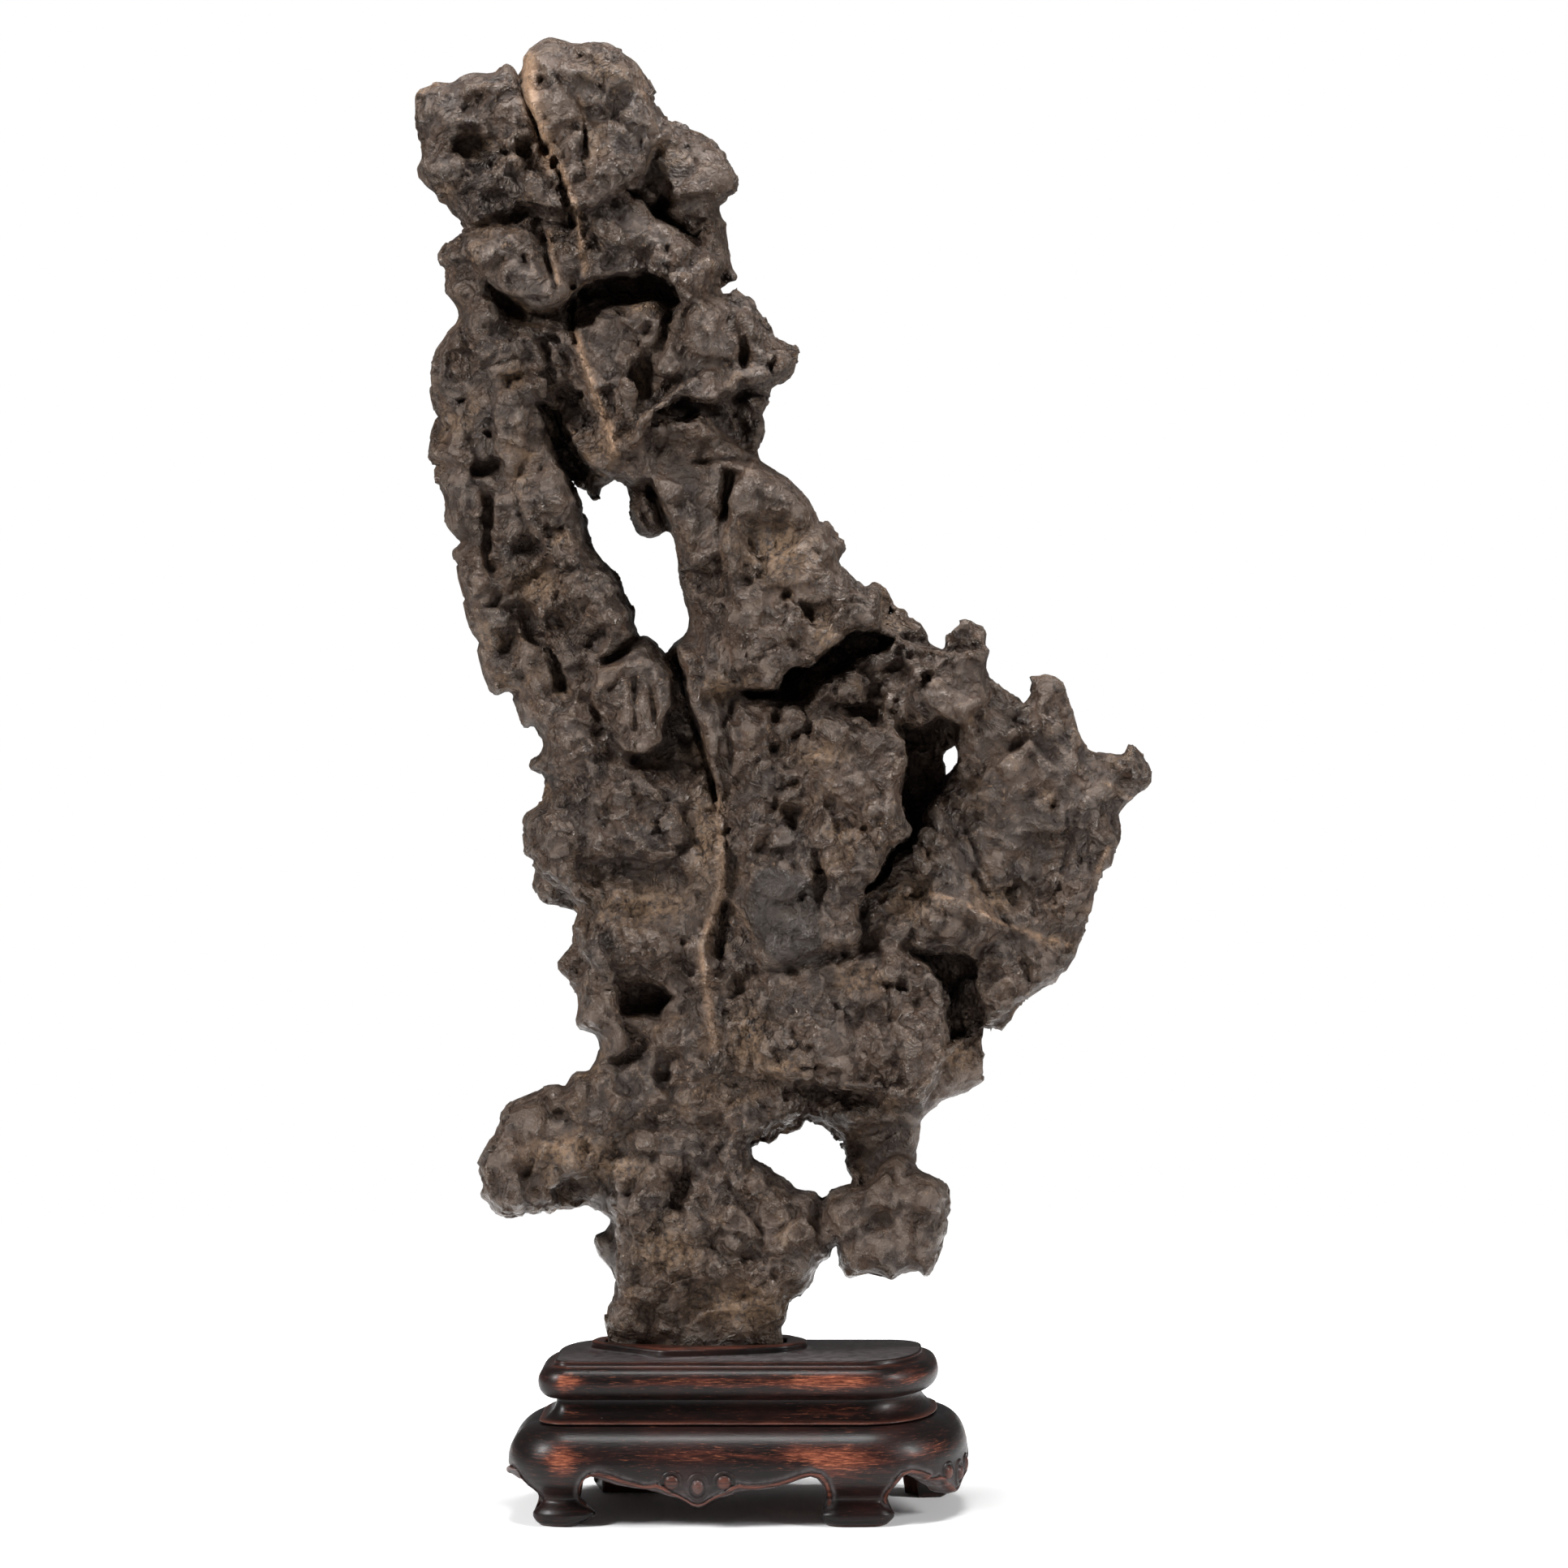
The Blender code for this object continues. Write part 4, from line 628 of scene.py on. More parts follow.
# %% Lumps and hollows
# Each is (across, down, half width, half height, height).
LUMPS = points_of("""
    532,206,20,18,8 575,110,50,20,4 598,236,30,18,6 560,150,22,16,5 700,86,30,24,6 770,100,34,40,8
    740,200,34,34,8 700,180,18,30,-6 668,100,5,6,-12 720,216,5,5,-14 718,287,4,4,-10 644,325,6,9,-16
    816,254,9,12,-30 865,285,6,9,-16 861,305,6,6,-12 889,338,7,8,-24 560,312,18,14,10 574,336,14,10,-12
    596,320,22,22,8 640,300,26,26,4 780,290,40,22,8 760,322,30,12,-5 565,360,16,18,6 594,384,20,24,8
    600,430,44,34,10 545,462,20,22,8 566,497,6,5,-12 604,537,5,5,-14 586,520,24,20,7 650,440,34,24,8
    676,460,26,20,8 640,520,18,36,6 686,516,12,26,-12 556,552,14,20,7 556,600,12,20,8 556,644,16,14,8
    660,620,34,34,8 690,620,22,30,5 652,672,22,14,-12 660,720,30,24,-6 700,720,30,18,5 620,724,16,16,4
    612,790,20,16,-8 640,836,14,10,-6 650,800,20,30,7 700,780,20,26,-10 730,800,20,14,-6 610,850,22,9,8
    660,880,26,20,6 696,440,10,10,5 707,498,20,22,-10 720,545,24,18,8 812,478,6,8,6 900,400,18,16,-6
    870,405,24,22,6 926,392,14,14,6 905,395,8,12,-8 870,530,20,14,8 905,520,30,14,-6 930,520,12,22,6
    905,540,14,8,-8 835,610,22,30,8 860,650,22,30,-6 876,600,16,24,5 835,680,14,24,6 946,590,40,14,5
    950,650,50,16,-5 1020,720,34,18,5 940,700,30,30,-4 1010,790,20,14,5 940,836,24,14,8 900,720,26,20,-6
    890,780,20,40,5 1078,728,12,10,8 1100,748,8,12,-18 1120,775,14,10,6 1040,845,16,12,5
    1110,840,24,16,6 1140,812,8,8,-8 1142,838,7,7,-10 1190,820,22,26,6 1290,852,18,18,6 1290,900,26,30,5
    1230,920,30,40,5 1210,990,26,36,6 1270,1010,34,40,-5 1330,970,34,24,5 1396,950,20,12,5
    1299,992,3,5,-10 1200,1060,30,24,5 1160,1130,44,20,6 1230,1180,44,26,6 1230,1230,30,20,6
    1290,1190,20,14,6 1086,1130,30,26,6 1040,1130,20,20,-6 968,960,22,20,6 1020,910,34,20,6
    1020,940,30,5,-8 960,1040,22,14,6 1030,1040,30,30,7 1050,900,30,12,5 1080,980,16,40,-6
    1100,940,12,30,-6 990,1000,14,20,-5 930,1000,20,30,5 700,890,20,26,6 712,920,26,18,6
    740,960,30,20,-5 690,970,20,20,-6 700,1030,26,22,7 745,1036,30,14,6 770,1040,20,12,-5
    800,1020,24,34,6 820,1060,30,10,5 850,1000,14,40,-5 770,1120,60,16,-5 822,1110,20,26,-5
    740,1165,30,24,6 790,1168,24,20,6 848,1160,14,30,4 870,1210,20,26,5 840,1230,18,14,6
    900,1240,24,40,5 930,1250,14,18,-6 940,1290,20,12,5 1000,1220,40,24,5 1070,1230,26,30,-5
    1110,1220,24,30,5 1010,1290,44,26,5 1100,1300,40,24,6 1140,1270,16,24,5 1060,1320,30,14,-5
    1060,1372,40,12,8 1020,1360,20,12,6 1186,1310,14,20,8 1080,1400,30,12,6 1060,1420,16,16,-5
    900,1320,30,20,4 880,1340,24,12,-5 940,1350,26,22,-8 900,1370,30,12,5 800,1330,14,20,6
    700,1350,14,14,6 722,1365,18,20,7 640,1390,24,24,6 640,1400,10,10,-6 620,1440,24,20,6
    655,1440,10,16,-6 690,1420,24,20,6 740,1400,26,20,-5 800,1390,30,14,-6 850,1380,24,14,5
    720,1460,20,12,-8 745,1460,20,14,5 776,1462,8,18,-6 806,1466,14,16,5 880,1480,20,18,6
    920,1470,18,18,-6 960,1490,20,18,6 920,1530,30,20,6 860,1530,30,20,-5 810,1540,24,20,6
    970,1560,24,20,6 840,1560,20,12,5 900,1560,34,10,6 800,1590,20,12,6 930,1590,16,10,-7
    950,1600,12,12,5 960,1570,10,12,-6 1060,1540,24,16,5 1110,1530,26,22,6 1130,1500,20,18,-5
    1080,1480,14,10,6 1140,1550,10,12,5""")


def lay_lumps(relief, lumps, u, v):
    """Each lump is a round hill, height times exp(-distance squared), distance in half sizes."""
    for x, y, half_width, half_height, height in lumps:
        relief = relief + height * np.exp(-((u - x) / half_width) ** 2 - ((v - y) / half_height) ** 2)
    return relief


front = lay_lumps(front, LUMPS, warped_across, warped_down)
print(len(LUMPS), "lumps and hollows")

# %% Cracks and ribs
# Each is (height, half width, points); a crack has a height below zero.
LINE_HEIGHT, LINE_WIDTH = 0.85, 0.8              # how much of the listed sizes is cut
LINES = shapes_of("""
    -46 4.5 | 640,104 653,135 664,162 672,184
    8 6 | 650,84 658,125 668,160 682,196
    -40 5 | 682,196 692,226 700,252 706,276
    8 4.5 | 692,206 704,240 712,276 718,300
    -14 3 | 670,286 677,318 682,350
    5 3 | 676,286 683,318 688,350
    -16 3 | 721,160 723,192
    -6 2.5 | 712,120 718,140 720,152
    3 2.5 | 704,58 740,76 776,100 800,140 812,165
    3 2.5 | 716,56 756,74 786,106 804,140
    -34 5 | 768,232 792,249 812,262 845,284 866,297
    -26 5 | 703,350 704,380 708,406 712,424
    7 4 | 712,412 722,451 739,501 754,540 757,562
    -9 1.8 | 716,440 726,470 744,512 752,545
    5 3 | 855,470 880,460 915,446
    5 3 | 860,491 880,492 906,478
    4 2.5 | 815,512 850,503 900,505 940,494
    4 2.5 | 810,524 840,522 862,514
    -9 3 | 815,516 860,510 905,512
    4 2.5 | 905,554 930,562 938,570
    -12 4 | 855,570 900,566 925,562
    -8 3 | 664,460 690,452 706,470
    -8 3 | 600,452 640,440
    4 2 | 788,604 800,632 812,656
    4 2 | 780,616 790,644 802,662
    -22 4.5 | 680,505 700,548 716,580
    -8 3 | 690,700 694,720 686,735
    4 2.5 | 604,812 618,830 640,838 664,862 676,870
    -22 5 | 897,582 893,610 898,640
    5 3 | 902,596 904,640 890,680
    -7 3 | 924,664 932,690 950,690
    -7 3 | 1010,690 1044,734
    4 2 | 1010,640 1024,672 1036,692
    4 2 | 1040,706 1074,742 1090,770
    5 3 | 1092,790 1120,790 1150,806
    -7 3 | 1066,832 1100,822 1124,806
    5 3 | 1066,826 1098,814 1120,800
    5 2.5 | 1128,812 1126,836 1116,850
    3 2 | 1140,857 1180,858 1215,864
    -9 3 | 1085,868 1104,880 1114,894
    -34 5 | 832,808 843,850 856,893 868,930 878,970 881,985
    5 3 | 864,810 878,850 890,900 902,950
    -9 3 | 884,850 898,900 902,950
    4 2.5 | 772,830 774,870 780,914
    4 2.5 | 788,828 792,870 796,914
    -8 3 | 782,836 784,900
    -8 3 | 803,850 808,890
    5 3 | 808,830 816,870 806,908
    -8 3 | 750,850 766,830
    4 2.5 | 706,886 740,894 764,924
    -6 2.5 | 730,840 740,870 752,890
    -6 2.5 | 680,1000 710,990
    -5 2.5 | 738,1000 770,996 782,960
    6 5 | 884,985 887,1026 889,1060 886,1100 870,1150 865,1180 872,1230
    -16 3.5 | 898,1022 893,1036
    -22 7 | 894,1112 890,1140 888,1175
    -7 2.5 | 893,1040 893,1080
    3 2 | 856,1080 858,1130 862,1160
    4 2.5 | 928,1066 936,1086 922,1110 914,1130
    -12 3.5 | 958,972 982,962
    -14 3.5 | 984,868 996,884 998,910
    -8 3 | 980,905 1000,900
    5 3 | 1076,950 1094,980 1092,1010 1080,1040
    3 2 | 1146,1100 1180,1108 1210,1118 1260,1140 1322,1166
    3 2 | 1150,1112 1200,1124 1260,1150
    3 2 | 1200,1160 1260,1162 1300,1180
    -5 2.5 | 1148,1118 1200,1140 1240,1152
    -7 3 | 1230,1100 1206,1060 1180,1000
    4 2.5 | 1294,1110 1310,1136 1322,1142
    -6 3 | 1330,1000 1310,1060 1300,1120
    -8 3 | 1090,1210 1100,1260
    3 2 | 1050,1224 1092,1220 1096,1260
    -5 2.5 | 1060,1296 1110,1304 1150,1310
    -8 3 | 970,1290 1010,1300
    4 2.5 | 700,1166 716,1190 740,1214 764,1262
    -7 3 | 930,1180 934,1200
    4 3 | 820,1240 850,1230 864,1218
    -6 3 | 926,1230 946,1270 960,1290
    -7 3 | 762,1310 756,1340
    5 3 | 698,1352 712,1380
    5 3 | 774,1400 786,1416 800,1422
    4 2 | 750,1488 776,1510 790,1540
    5 2.5 | 768,1560 772,1600 782,1630
    5 3 | 858,1428 884,1400
    5 3 | 790,1605 812,1590 835,1580 880,1570 905,1574 945,1590 965,1600
    -6 3 | 835,1520 850,1560 846,1580
    4 2.5 | 848,1640 856,1620 890,1614""")
for height, half_width, points in LINES:
    away = line_distance(points, across + 0.4 * warp_across, down + 0.4 * warp_down, 3.0 * half_width)
    front = front + LINE_HEIGHT * height * np.exp(-(away / (LINE_WIDTH * half_width)) ** 2)
print(len(LINES), "cracks and ribs")

# %% [markdown]
# ## Grain, bowls and plates
# Some faces show the fine parallel grain of the bed that the stone came from. Everywhere else the
# surface is broken into small plates and shallow bowls. The back was never the show side: it is made
# from the same plates and bowls, larger and quieter, over a few listed masses.

# %% Grain and broken plates
# Each grain is (height, angle below the horizontal, spacing, softness, corners).
GRAINS = shapes_of("""
    3 35 9 12 | 690,50 760,50 820,120 812,190 760,200 720,120
    2.5 8 8 10 | 513,100 640,90 655,160 560,165 513,160
    3 85 12 8 | 735,822 822,822 829,870 800,922 752,900
    3 62 7 6 | 765,590 820,600 828,668 790,675
    3 78 10 8 | 838,800 860,806 902,956 886,984 850,880
    3 24 9 14 | 1130,1090 1240,1100 1330,1160 1290,1200 1180,1170
    5 -58 26 24 | 1170,900 1330,880 1420,950 1340,1140 1210,1100
    3 -8 9 8 | 800,495 940,480 945,540 810,550
    2.5 10 12 14 | 985,1190 1150,1190 1165,1320 1000,1330
    3 60 12 14 | 700,690 785,760 740,800 690,760""")
GRAIN_LENGTH = 5.0                               # how many times longer than wide the grain is
for height, angle, spacing, softness, corners in GRAINS:
    turn = math.radians(angle)
    along = warped_across * math.cos(turn) + warped_down * math.sin(turn)
    aside = warped_down * math.cos(turn) - warped_across * math.sin(turn)
    lines = lattice_noise(np.stack([along / GRAIN_LENGTH, aside, along * 0.0], -1), spacing, 41)
    front = front + height * inside_share(corners, across, down, softness) * lines

warped_sheet = np.stack([warped_across, warped_down, np.zeros_like(across)], -1)
front = front + 5.0 * lattice_noise(sheet_points, 60.0, 3) + 5.0 * plates(warped_sheet, 52.0, 51)
front = front + 3.0 * bowls(warped_sheet, 48.0, 21) + 2.4 * plates(warped_sheet, 21.0, 52)
front = front + 2.4 * bowls(warped_sheet * np.array([1.3, 0.8, 1.0]), 25.0, 23) - 2.7
print("front relief", round(float(front.min())), "to", round(float(front.max())))

# %% The back
BACK_DEPTH = 62.0
BACK_BLOCKS = shapes_of("""
    crown: 50 0.02 0.05 50 | 480,20 940,20 940,330 480,330
    crown shelf: 66 0 0.1 12 | 560,250 700,230 880,300 860,380 600,360
    left arm: 52 0 0 30 | 500,420 690,420 790,760 700,860 560,860
    right arm: 74 0 0 34 | 830,540 960,560 1090,740 1000,860 850,800
    wing: 28 0 0 36 | 1150,700 1450,850 1450,1060 1300,1300 1180,1300
    trunk: 84 0 0.02 40 | 700,900 1080,900 1120,1300 900,1420 720,1300
    trunk cave: 30 0 0.3 10 | 840,1010 930,990 960,1060 900,1110 830,1080
    high cave: 34 0 0.4 9 | 740,430 850,420 880,470 800,500 730,480
    toe: 44 0 0 24 | 1020,1440 1180,1440 1180,1600 1020,1600
    root: 44 0 0 30 | 560,1320 720,1320 720,1520 560,1520
    low ledge: 80 0 0.2 8 | 760,1240 1000,1200 1080,1300 900,1340 760,1320""")
BACK_LUMPS = points_of("""
    600,190,70,70,16 740,150,80,80,22 870,220,50,50,-26 640,330,90,40,-18 760,420,90,60,14
    600,480,60,90,14 900,470,60,60,-18 650,640,80,80,18 960,680,90,90,26 620,800,60,70,-10
    820,860,90,60,-24 760,980,90,90,20 980,900,80,60,16 1060,800,50,40,-26 1220,860,60,60,-18
    1280,980,110,110,-26 1240,1150,90,60,-20 960,1120,110,70,16 800,1200,90,60,-24 1100,1250,90,80,14
    900,1380,90,50,12 650,1420,70,70,-14 820,1450,90,80,18 1100,1500,70,70,-10 860,1560,90,50,8""")
back = lay_blocks(np.full(across.shape, BACK_DEPTH), BACK_BLOCKS, warped_across, warped_down)
back = lay_lumps(back, BACK_LUMPS, across, down)
far_side = warped_sheet + np.array([0.0, 0.0, 700.0])
back = back + 8.0 * lattice_noise(far_side, 60.0, 5) + 9.0 * plates(far_side, 84.0, 53)
back = back + 4.0 * plates(far_side, 40.0, 54) + 9.0 * bowls(far_side, 50.0, 22) - 5.0
print("back relief", round(float(back.min())), "to", round(float(back.max())))

# %% [markdown]
# ## From relief to solid
# Front and back are still two pictures. A height mesh of each could be zipped together at the
# outline, but its cliffs would be a few stretched faces, and the cliffs are what casts the shadows.
# So the two reliefs and the outline become one field in space, below zero inside the stone, and the
# field is skinned with even faces: one point in each cell that the surface crosses.

# %% Both faces turn over towards the outline
DEPTH_SCALE = 1.22                               # how much deeper the stone is than the depths listed
THINNEST = 22.0                                  # least thickness left between front and back
OUTLINE_ROUNDING = 30.0
EDGE_HALF_THICKNESS = 9.0
DEEPEST_FRONT, DEEPEST_BACK = 106.0, 122.0       # the blocks end here, as the solid in the frame does
FOOT_TAPER_ROWS = (1560.0, 1640.0)               # between these rows the column narrows to its foot
FOOT_FRONT, FOOT_BACK = 34.0, 52.0


def level_off(relief, deepest, bend=5.0):
    """The relief, bent smoothly so that it never passes the deepest value."""
    return deepest - bend * np.logaddexp(0.0, (deepest - relief) / bend)


front = level_off(front * DEPTH_SCALE, DEEPEST_FRONT)
back = level_off(back * DEPTH_SCALE, DEEPEST_BACK)
taper = smooth_step((down - FOOT_TAPER_ROWS[0]) / (FOOT_TAPER_ROWS[1] - FOOT_TAPER_ROWS[0]))
front = front + (FOOT_FRONT + 0.5 * (front - BODY_DEPTH) - front) * taper
back = back + (FOOT_BACK - back) * taper
front = np.maximum(front, THINNEST - back)
turn = np.clip(-edge / OUTLINE_ROUNDING, 0.0, 1.0)
turn = np.sqrt(1.0 - (1.0 - turn) ** 2)
middle, half = 0.5 * (front - back), 0.5 * (front + back)
half = EDGE_HALF_THICKNESS + (half - EDGE_HALF_THICKNESS) * turn
front, back = middle + half, half - middle
print("front up to", round(float(front.max()), 1), "and back up to", round(float(back.max()), 1))

# %% The field in space
def steepness(table):
    """Length of the vector (1, slope across, slope down), which turns a height gap into a distance."""
    slope_u, slope_v = np.gradient(table, SHEET_STEP)
    return np.sqrt(1.0 + slope_u ** 2 + slope_v ** 2)


def read_sheet(tables, u, v):
    """Values of sheet tables at any points, blended between the four nearest."""
    u = np.clip((u - columns[0]) / SHEET_STEP, 0.0, len(columns) - 1.001)
    v = np.clip((v - rows[0]) / SHEET_STEP, 0.0, len(rows) - 1.001)
    i, j = u.astype(int), v.astype(int)
    u, v = (u - i)[..., None], (v - j)[..., None]
    return ((tables[i, j] * (1 - u) + tables[i + 1, j] * u) * (1 - v)
            + (tables[i, j + 1] * (1 - u) + tables[i + 1, j + 1] * u) * v)


FOOT_BOTTOM = 184.0                              # height of the flat the stone stands on
FOOT_BLEND = (204.0, 226.0)                      # heights where the column turns into the foot's plan
FOOT_PLAN = points_of("""
    -166,-6 -140,-18 -60,-30 -14,-30 38,-24 50,-10 50,20 20,44 -60,52 -130,44 -164,16""")
shape_tables = np.stack([edge, front, back, steepness(front), steepness(back)], -1).astype(np.float32)


def plan_distance(corners, x, y):
    """Distance to a closed plan, below zero inside it, for a convex plan: the farthest of its sides."""
    sides = zip(corners, corners[1:] + corners[:1])
    gaps = [((x - x0) * (y1 - y0) - (y - y0) * (x1 - x0)) / math.hypot(x1 - x0, y1 - y0)
            for (x0, y0), (x1, y1) in sides]
    return np.max(gaps, axis=0)


def on_sheet(x, y, z):
    """Where a point in space is seen on the sheet: the farther back, the nearer the middle."""
    scale = 1.0 + y / VIEW_DISTANCE
    return SHEET_MIDDLE + x / scale, VIEW_ROW + (SHEET_FLOOR - VIEW_ROW - z) / scale


def stone_field(x, y, z):
    """Below zero inside the stone: the farthest out of the outline, the front and the back."""
    found = read_sheet(shape_tables, *on_sheet(x, y, z))
    before = (-y - found[..., 1]) / found[..., 3]
    behind = (y - found[..., 2]) / found[..., 4]
    shape = np.maximum(np.maximum(found[..., 0], before), behind)
    foot = plan_distance([(a + STAND_MIDDLE, b) for a, b in FOOT_PLAN], x, y)
    low = np.clip((FOOT_BLEND[1] - z) / (FOOT_BLEND[1] - FOOT_BLEND[0]), 0.0, 1.0)
    return np.maximum(shape * (1.0 - low) + foot * low, FOOT_BOTTOM - z)

# %% The field on a grid
CELL = 3.1
field_low = np.array([-478.0, -128.0, FOOT_BOTTOM - 1.5 * CELL])
field_high = np.array([480.0, 142.0, 1850.0])
lines = [np.arange(a, b, CELL, dtype=np.float32) for a, b in zip(field_low, field_high)]
field = np.empty([len(line) for line in lines], np.float32)
SLAB = 16                                        # layers worked out at a time, to spare memory
for start in range(0, len(lines[0]), SLAB):
    slab = np.meshgrid(lines[0][start:start + SLAB], lines[1], lines[2], indexing="ij")
    field[start:start + SLAB] = stone_field(*slab)
print("field of", field.shape, "cells")

# %% Skin
def skin(field, low, step):
    """Closed surface where the field is zero. Each cell whose corners differ in sign holds one point,
    at the mean of the places where its edges cross zero; each grid edge that crosses gets one quad
    between the four cells round it."""
    inside = field < 0.0
    corners = [(i, j, k) for i in (0, 1) for j in (0, 1) for k in (0, 1)]
    size = [n - 1 for n in field.shape]

    def corner(grid, offset):
        i, j, k = offset
        return grid[i:i + size[0], j:j + size[1], k:k + size[2]]

    count = sum(corner(inside, offset).astype(np.int8) for offset in corners)
    mixed = (count > 0) & (count < 8)
    cells = np.argwhere(mixed)
    number = np.full(mixed.shape, -1)
    number[mixed] = np.arange(len(cells))
    values = {offset: corner(field, offset)[mixed] for offset in corners}
    total, crossings = np.zeros((len(cells), 3)), np.zeros(len(cells))
    for a in corners:
        for axis in range(3):
            if a[axis]:
                continue
            b = tuple(1 if n == axis else a[n] for n in range(3))
            crosses = (values[a] < 0) != (values[b] < 0)
            gap = np.where(crosses, values[a] - values[b], 1.0)
            spot = np.tile(np.array(a, float), (len(cells), 1))
            spot[:, axis] = np.where(crosses, values[a] / gap, 0.0)
            total += np.where(crosses[:, None], spot, 0.0)
            crossings += crosses
    points = (cells + total / crossings[:, None]) * step + low
    faces = []
    for axis in range(3):
        b, c = (axis + 1) % 3, (axis + 2) % 3
        first = np.take(inside, range(0, inside.shape[axis] - 1), axis)
        second = np.take(inside, range(1, inside.shape[axis]), axis)
        for solid_first in (True, False):
            where = np.argwhere((first & ~second) if solid_first else (~first & second))
            quad = []
            for shift_b, shift_c in ((-1, -1), (0, -1), (0, 0), (-1, 0)):
                cell = where.copy()
                cell[:, b] += shift_b
                cell[:, c] += shift_c
                quad.append(number[cell[:, 0], cell[:, 1], cell[:, 2]])
            quad = np.stack(quad, 1)
            faces.append(quad if solid_first else quad[:, ::-1])
    return points, np.concatenate(faces)


def largest_body(points, faces):
    """Keep the faces that hang together with most of the rest: each point takes the lowest number
    among its neighbours until nothing changes, and the commonest number wins."""
    label = np.arange(len(points))
    while True:
        lowest = label[faces].min(1)
        new = label.copy()
        np.minimum.at(new, faces.ravel(), np.repeat(lowest, faces.shape[1]))
        new = new[new]
        if (new == label).all():
            break
        label = new
    kept = label == np.bincount(label).argmax()
    return points[kept], (np.cumsum(kept) - 1)[faces[kept[faces[:, 0]]]]


points, faces = largest_body(*skin(field, field_low, CELL))
print("skin of", len(points), "points and", len(faces), "quads")

# %% [markdown]
# ## The worn surface
# The skin is smooth at the size of its cells. The last few millimetres of relief are worked out in
# space, on the points themselves, so that pits and ridges run round the edges and over the back with
# no seam. Pushing each point along its own normal keeps them from being stretched on the cliffs.

# %% Smoothing and normals
def edges_of(faces):
    """Every edge of the quads once, as pairs of point numbers."""
    pairs = np.concatenate([faces[:, [n, (n + 1) % 4]] for n in range(4)])
    return np.unique(np.sort(pairs, 1), axis=0)


def neighbour_mean(values, edges):
    """For each point, the mean of a value over the points that an edge joins to it."""
    count = np.bincount(edges.ravel(), minlength=len(values))
    total = np.stack([
        np.bincount(edges[:, 0], values[edges[:, 1], n], len(values))
        + np.bincount(edges[:, 1], values[edges[:, 0], n], len(values))
        for n in range(values.shape[1])], 1)
    return total / np.maximum(count, 1)[:, None]


def point_normals(points, faces):
    """The mean of the normals of the quads round each point, from the quads' two diagonals."""
    cross = np.cross(points[faces[:, 2]] - points[faces[:, 0]],
                     points[faces[:, 3]] - points[faces[:, 1]])
    total = np.stack([sum(np.bincount(faces[:, k], cross[:, n], len(points)) for k in range(4))
                      for n in range(3)], 1)
    return total / np.maximum(np.linalg.norm(total, axis=1), 1e-9)[:, None]


edges = edges_of(faces)
for _ in range(2):
    points = points + 0.4 * (neighbour_mean(points, edges) - points)
normals = point_normals(points, faces)
print("smoothed over", len(edges), "edges")

# %% Pits and ridges
SMOOTHEST, ROUGHEST = 0.3, 1.3                   # how much of the wear the calmest and wildest places get


def how_rough(points):
    """How rough the stone is at a place: slow noise plus quicker noise, from smooth to chipped."""
    slow, quick = lattice_noise(points, 75.0, 76), lattice_noise(points, 32.0, 78)
    return np.clip(0.72 + 0.7 * slow + 0.4 * quick, SMOOTHEST, ROUGHEST)


BOX_MARGIN = 0.5                                 # the surface stays this far inside the solid's box
above_foot = smooth_step((points[:, 2] - FOOT_BLEND[1]) / 12.0)
twist = np.stack([lattice_noise(points, 30.0, 61 + n) for n in range(3)], 1) * 6.0
twisted = points + twist
wear = (1.8 * bowls(twisted, 36.0, 71) + 2.0 * bowls(twisted, 17.0, 72)
        + 3.0 * plates(twisted, 30.0, 77) + 1.3 * plates(twisted, 15.0, 74)
        + 0.5 * lattice_noise(points, 8.0, 75) - 2.2)
points = points + normals * (wear * how_rough(points) * above_foot)[:, None]
stone_box = (np.array(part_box("rock")) - SHEET_ORIGIN) / UNIT
points = np.clip(points, stone_box[0] + BOX_MARGIN, stone_box[1] - BOX_MARGIN)
points[:, 2] = np.maximum(points[:, 2], FOOT_BOTTOM)
print("worn from", round(float(wear.min()), 1), "to", round(float(wear.max()), 1), "units")

# %% The stone's mesh
def add_piece(name, points, faces):
    """A smooth mesh object in the frame, from points in units and quads."""
    mesh = bpy.data.meshes.new(name)
    mesh.vertices.add(len(points))
    mesh.vertices.foreach_set("co", to_frame(points).astype(np.float32).ravel())
    mesh.loops.add(faces.size)
    mesh.loops.foreach_set("vertex_index", faces.astype(np.int32).ravel())
    mesh.polygons.add(len(faces))
    mesh.polygons.foreach_set("loop_start", np.arange(0, faces.size, 4, dtype=np.int32))
    mesh.update(calc_edges=True)
    mesh.polygons.foreach_set("use_smooth", np.full(len(faces), True))
    piece = bpy.data.objects.new(name, mesh)
    bpy.context.scene.collection.objects.link(piece)
    return piece


STONE_TRIANGLES = 196000
stone = add_piece("rock_surface", points, faces)
if 2 * len(faces) > STONE_TRIANGLES:
    thin = stone.modifiers.new("thin", "DECIMATE")
    thin.ratio = STONE_TRIANGLES / (2 * len(faces))
    graph = bpy.context.evaluated_depsgraph_get()
    thinned = bpy.data.meshes.new_from_object(stone.evaluated_get(graph))
    stone.modifiers.clear()
    stone.data = thinned
stone.data.calc_loop_triangles()
print("stone of", len(stone.data.vertices), "points and", len(stone.data.loop_triangles), "triangles")
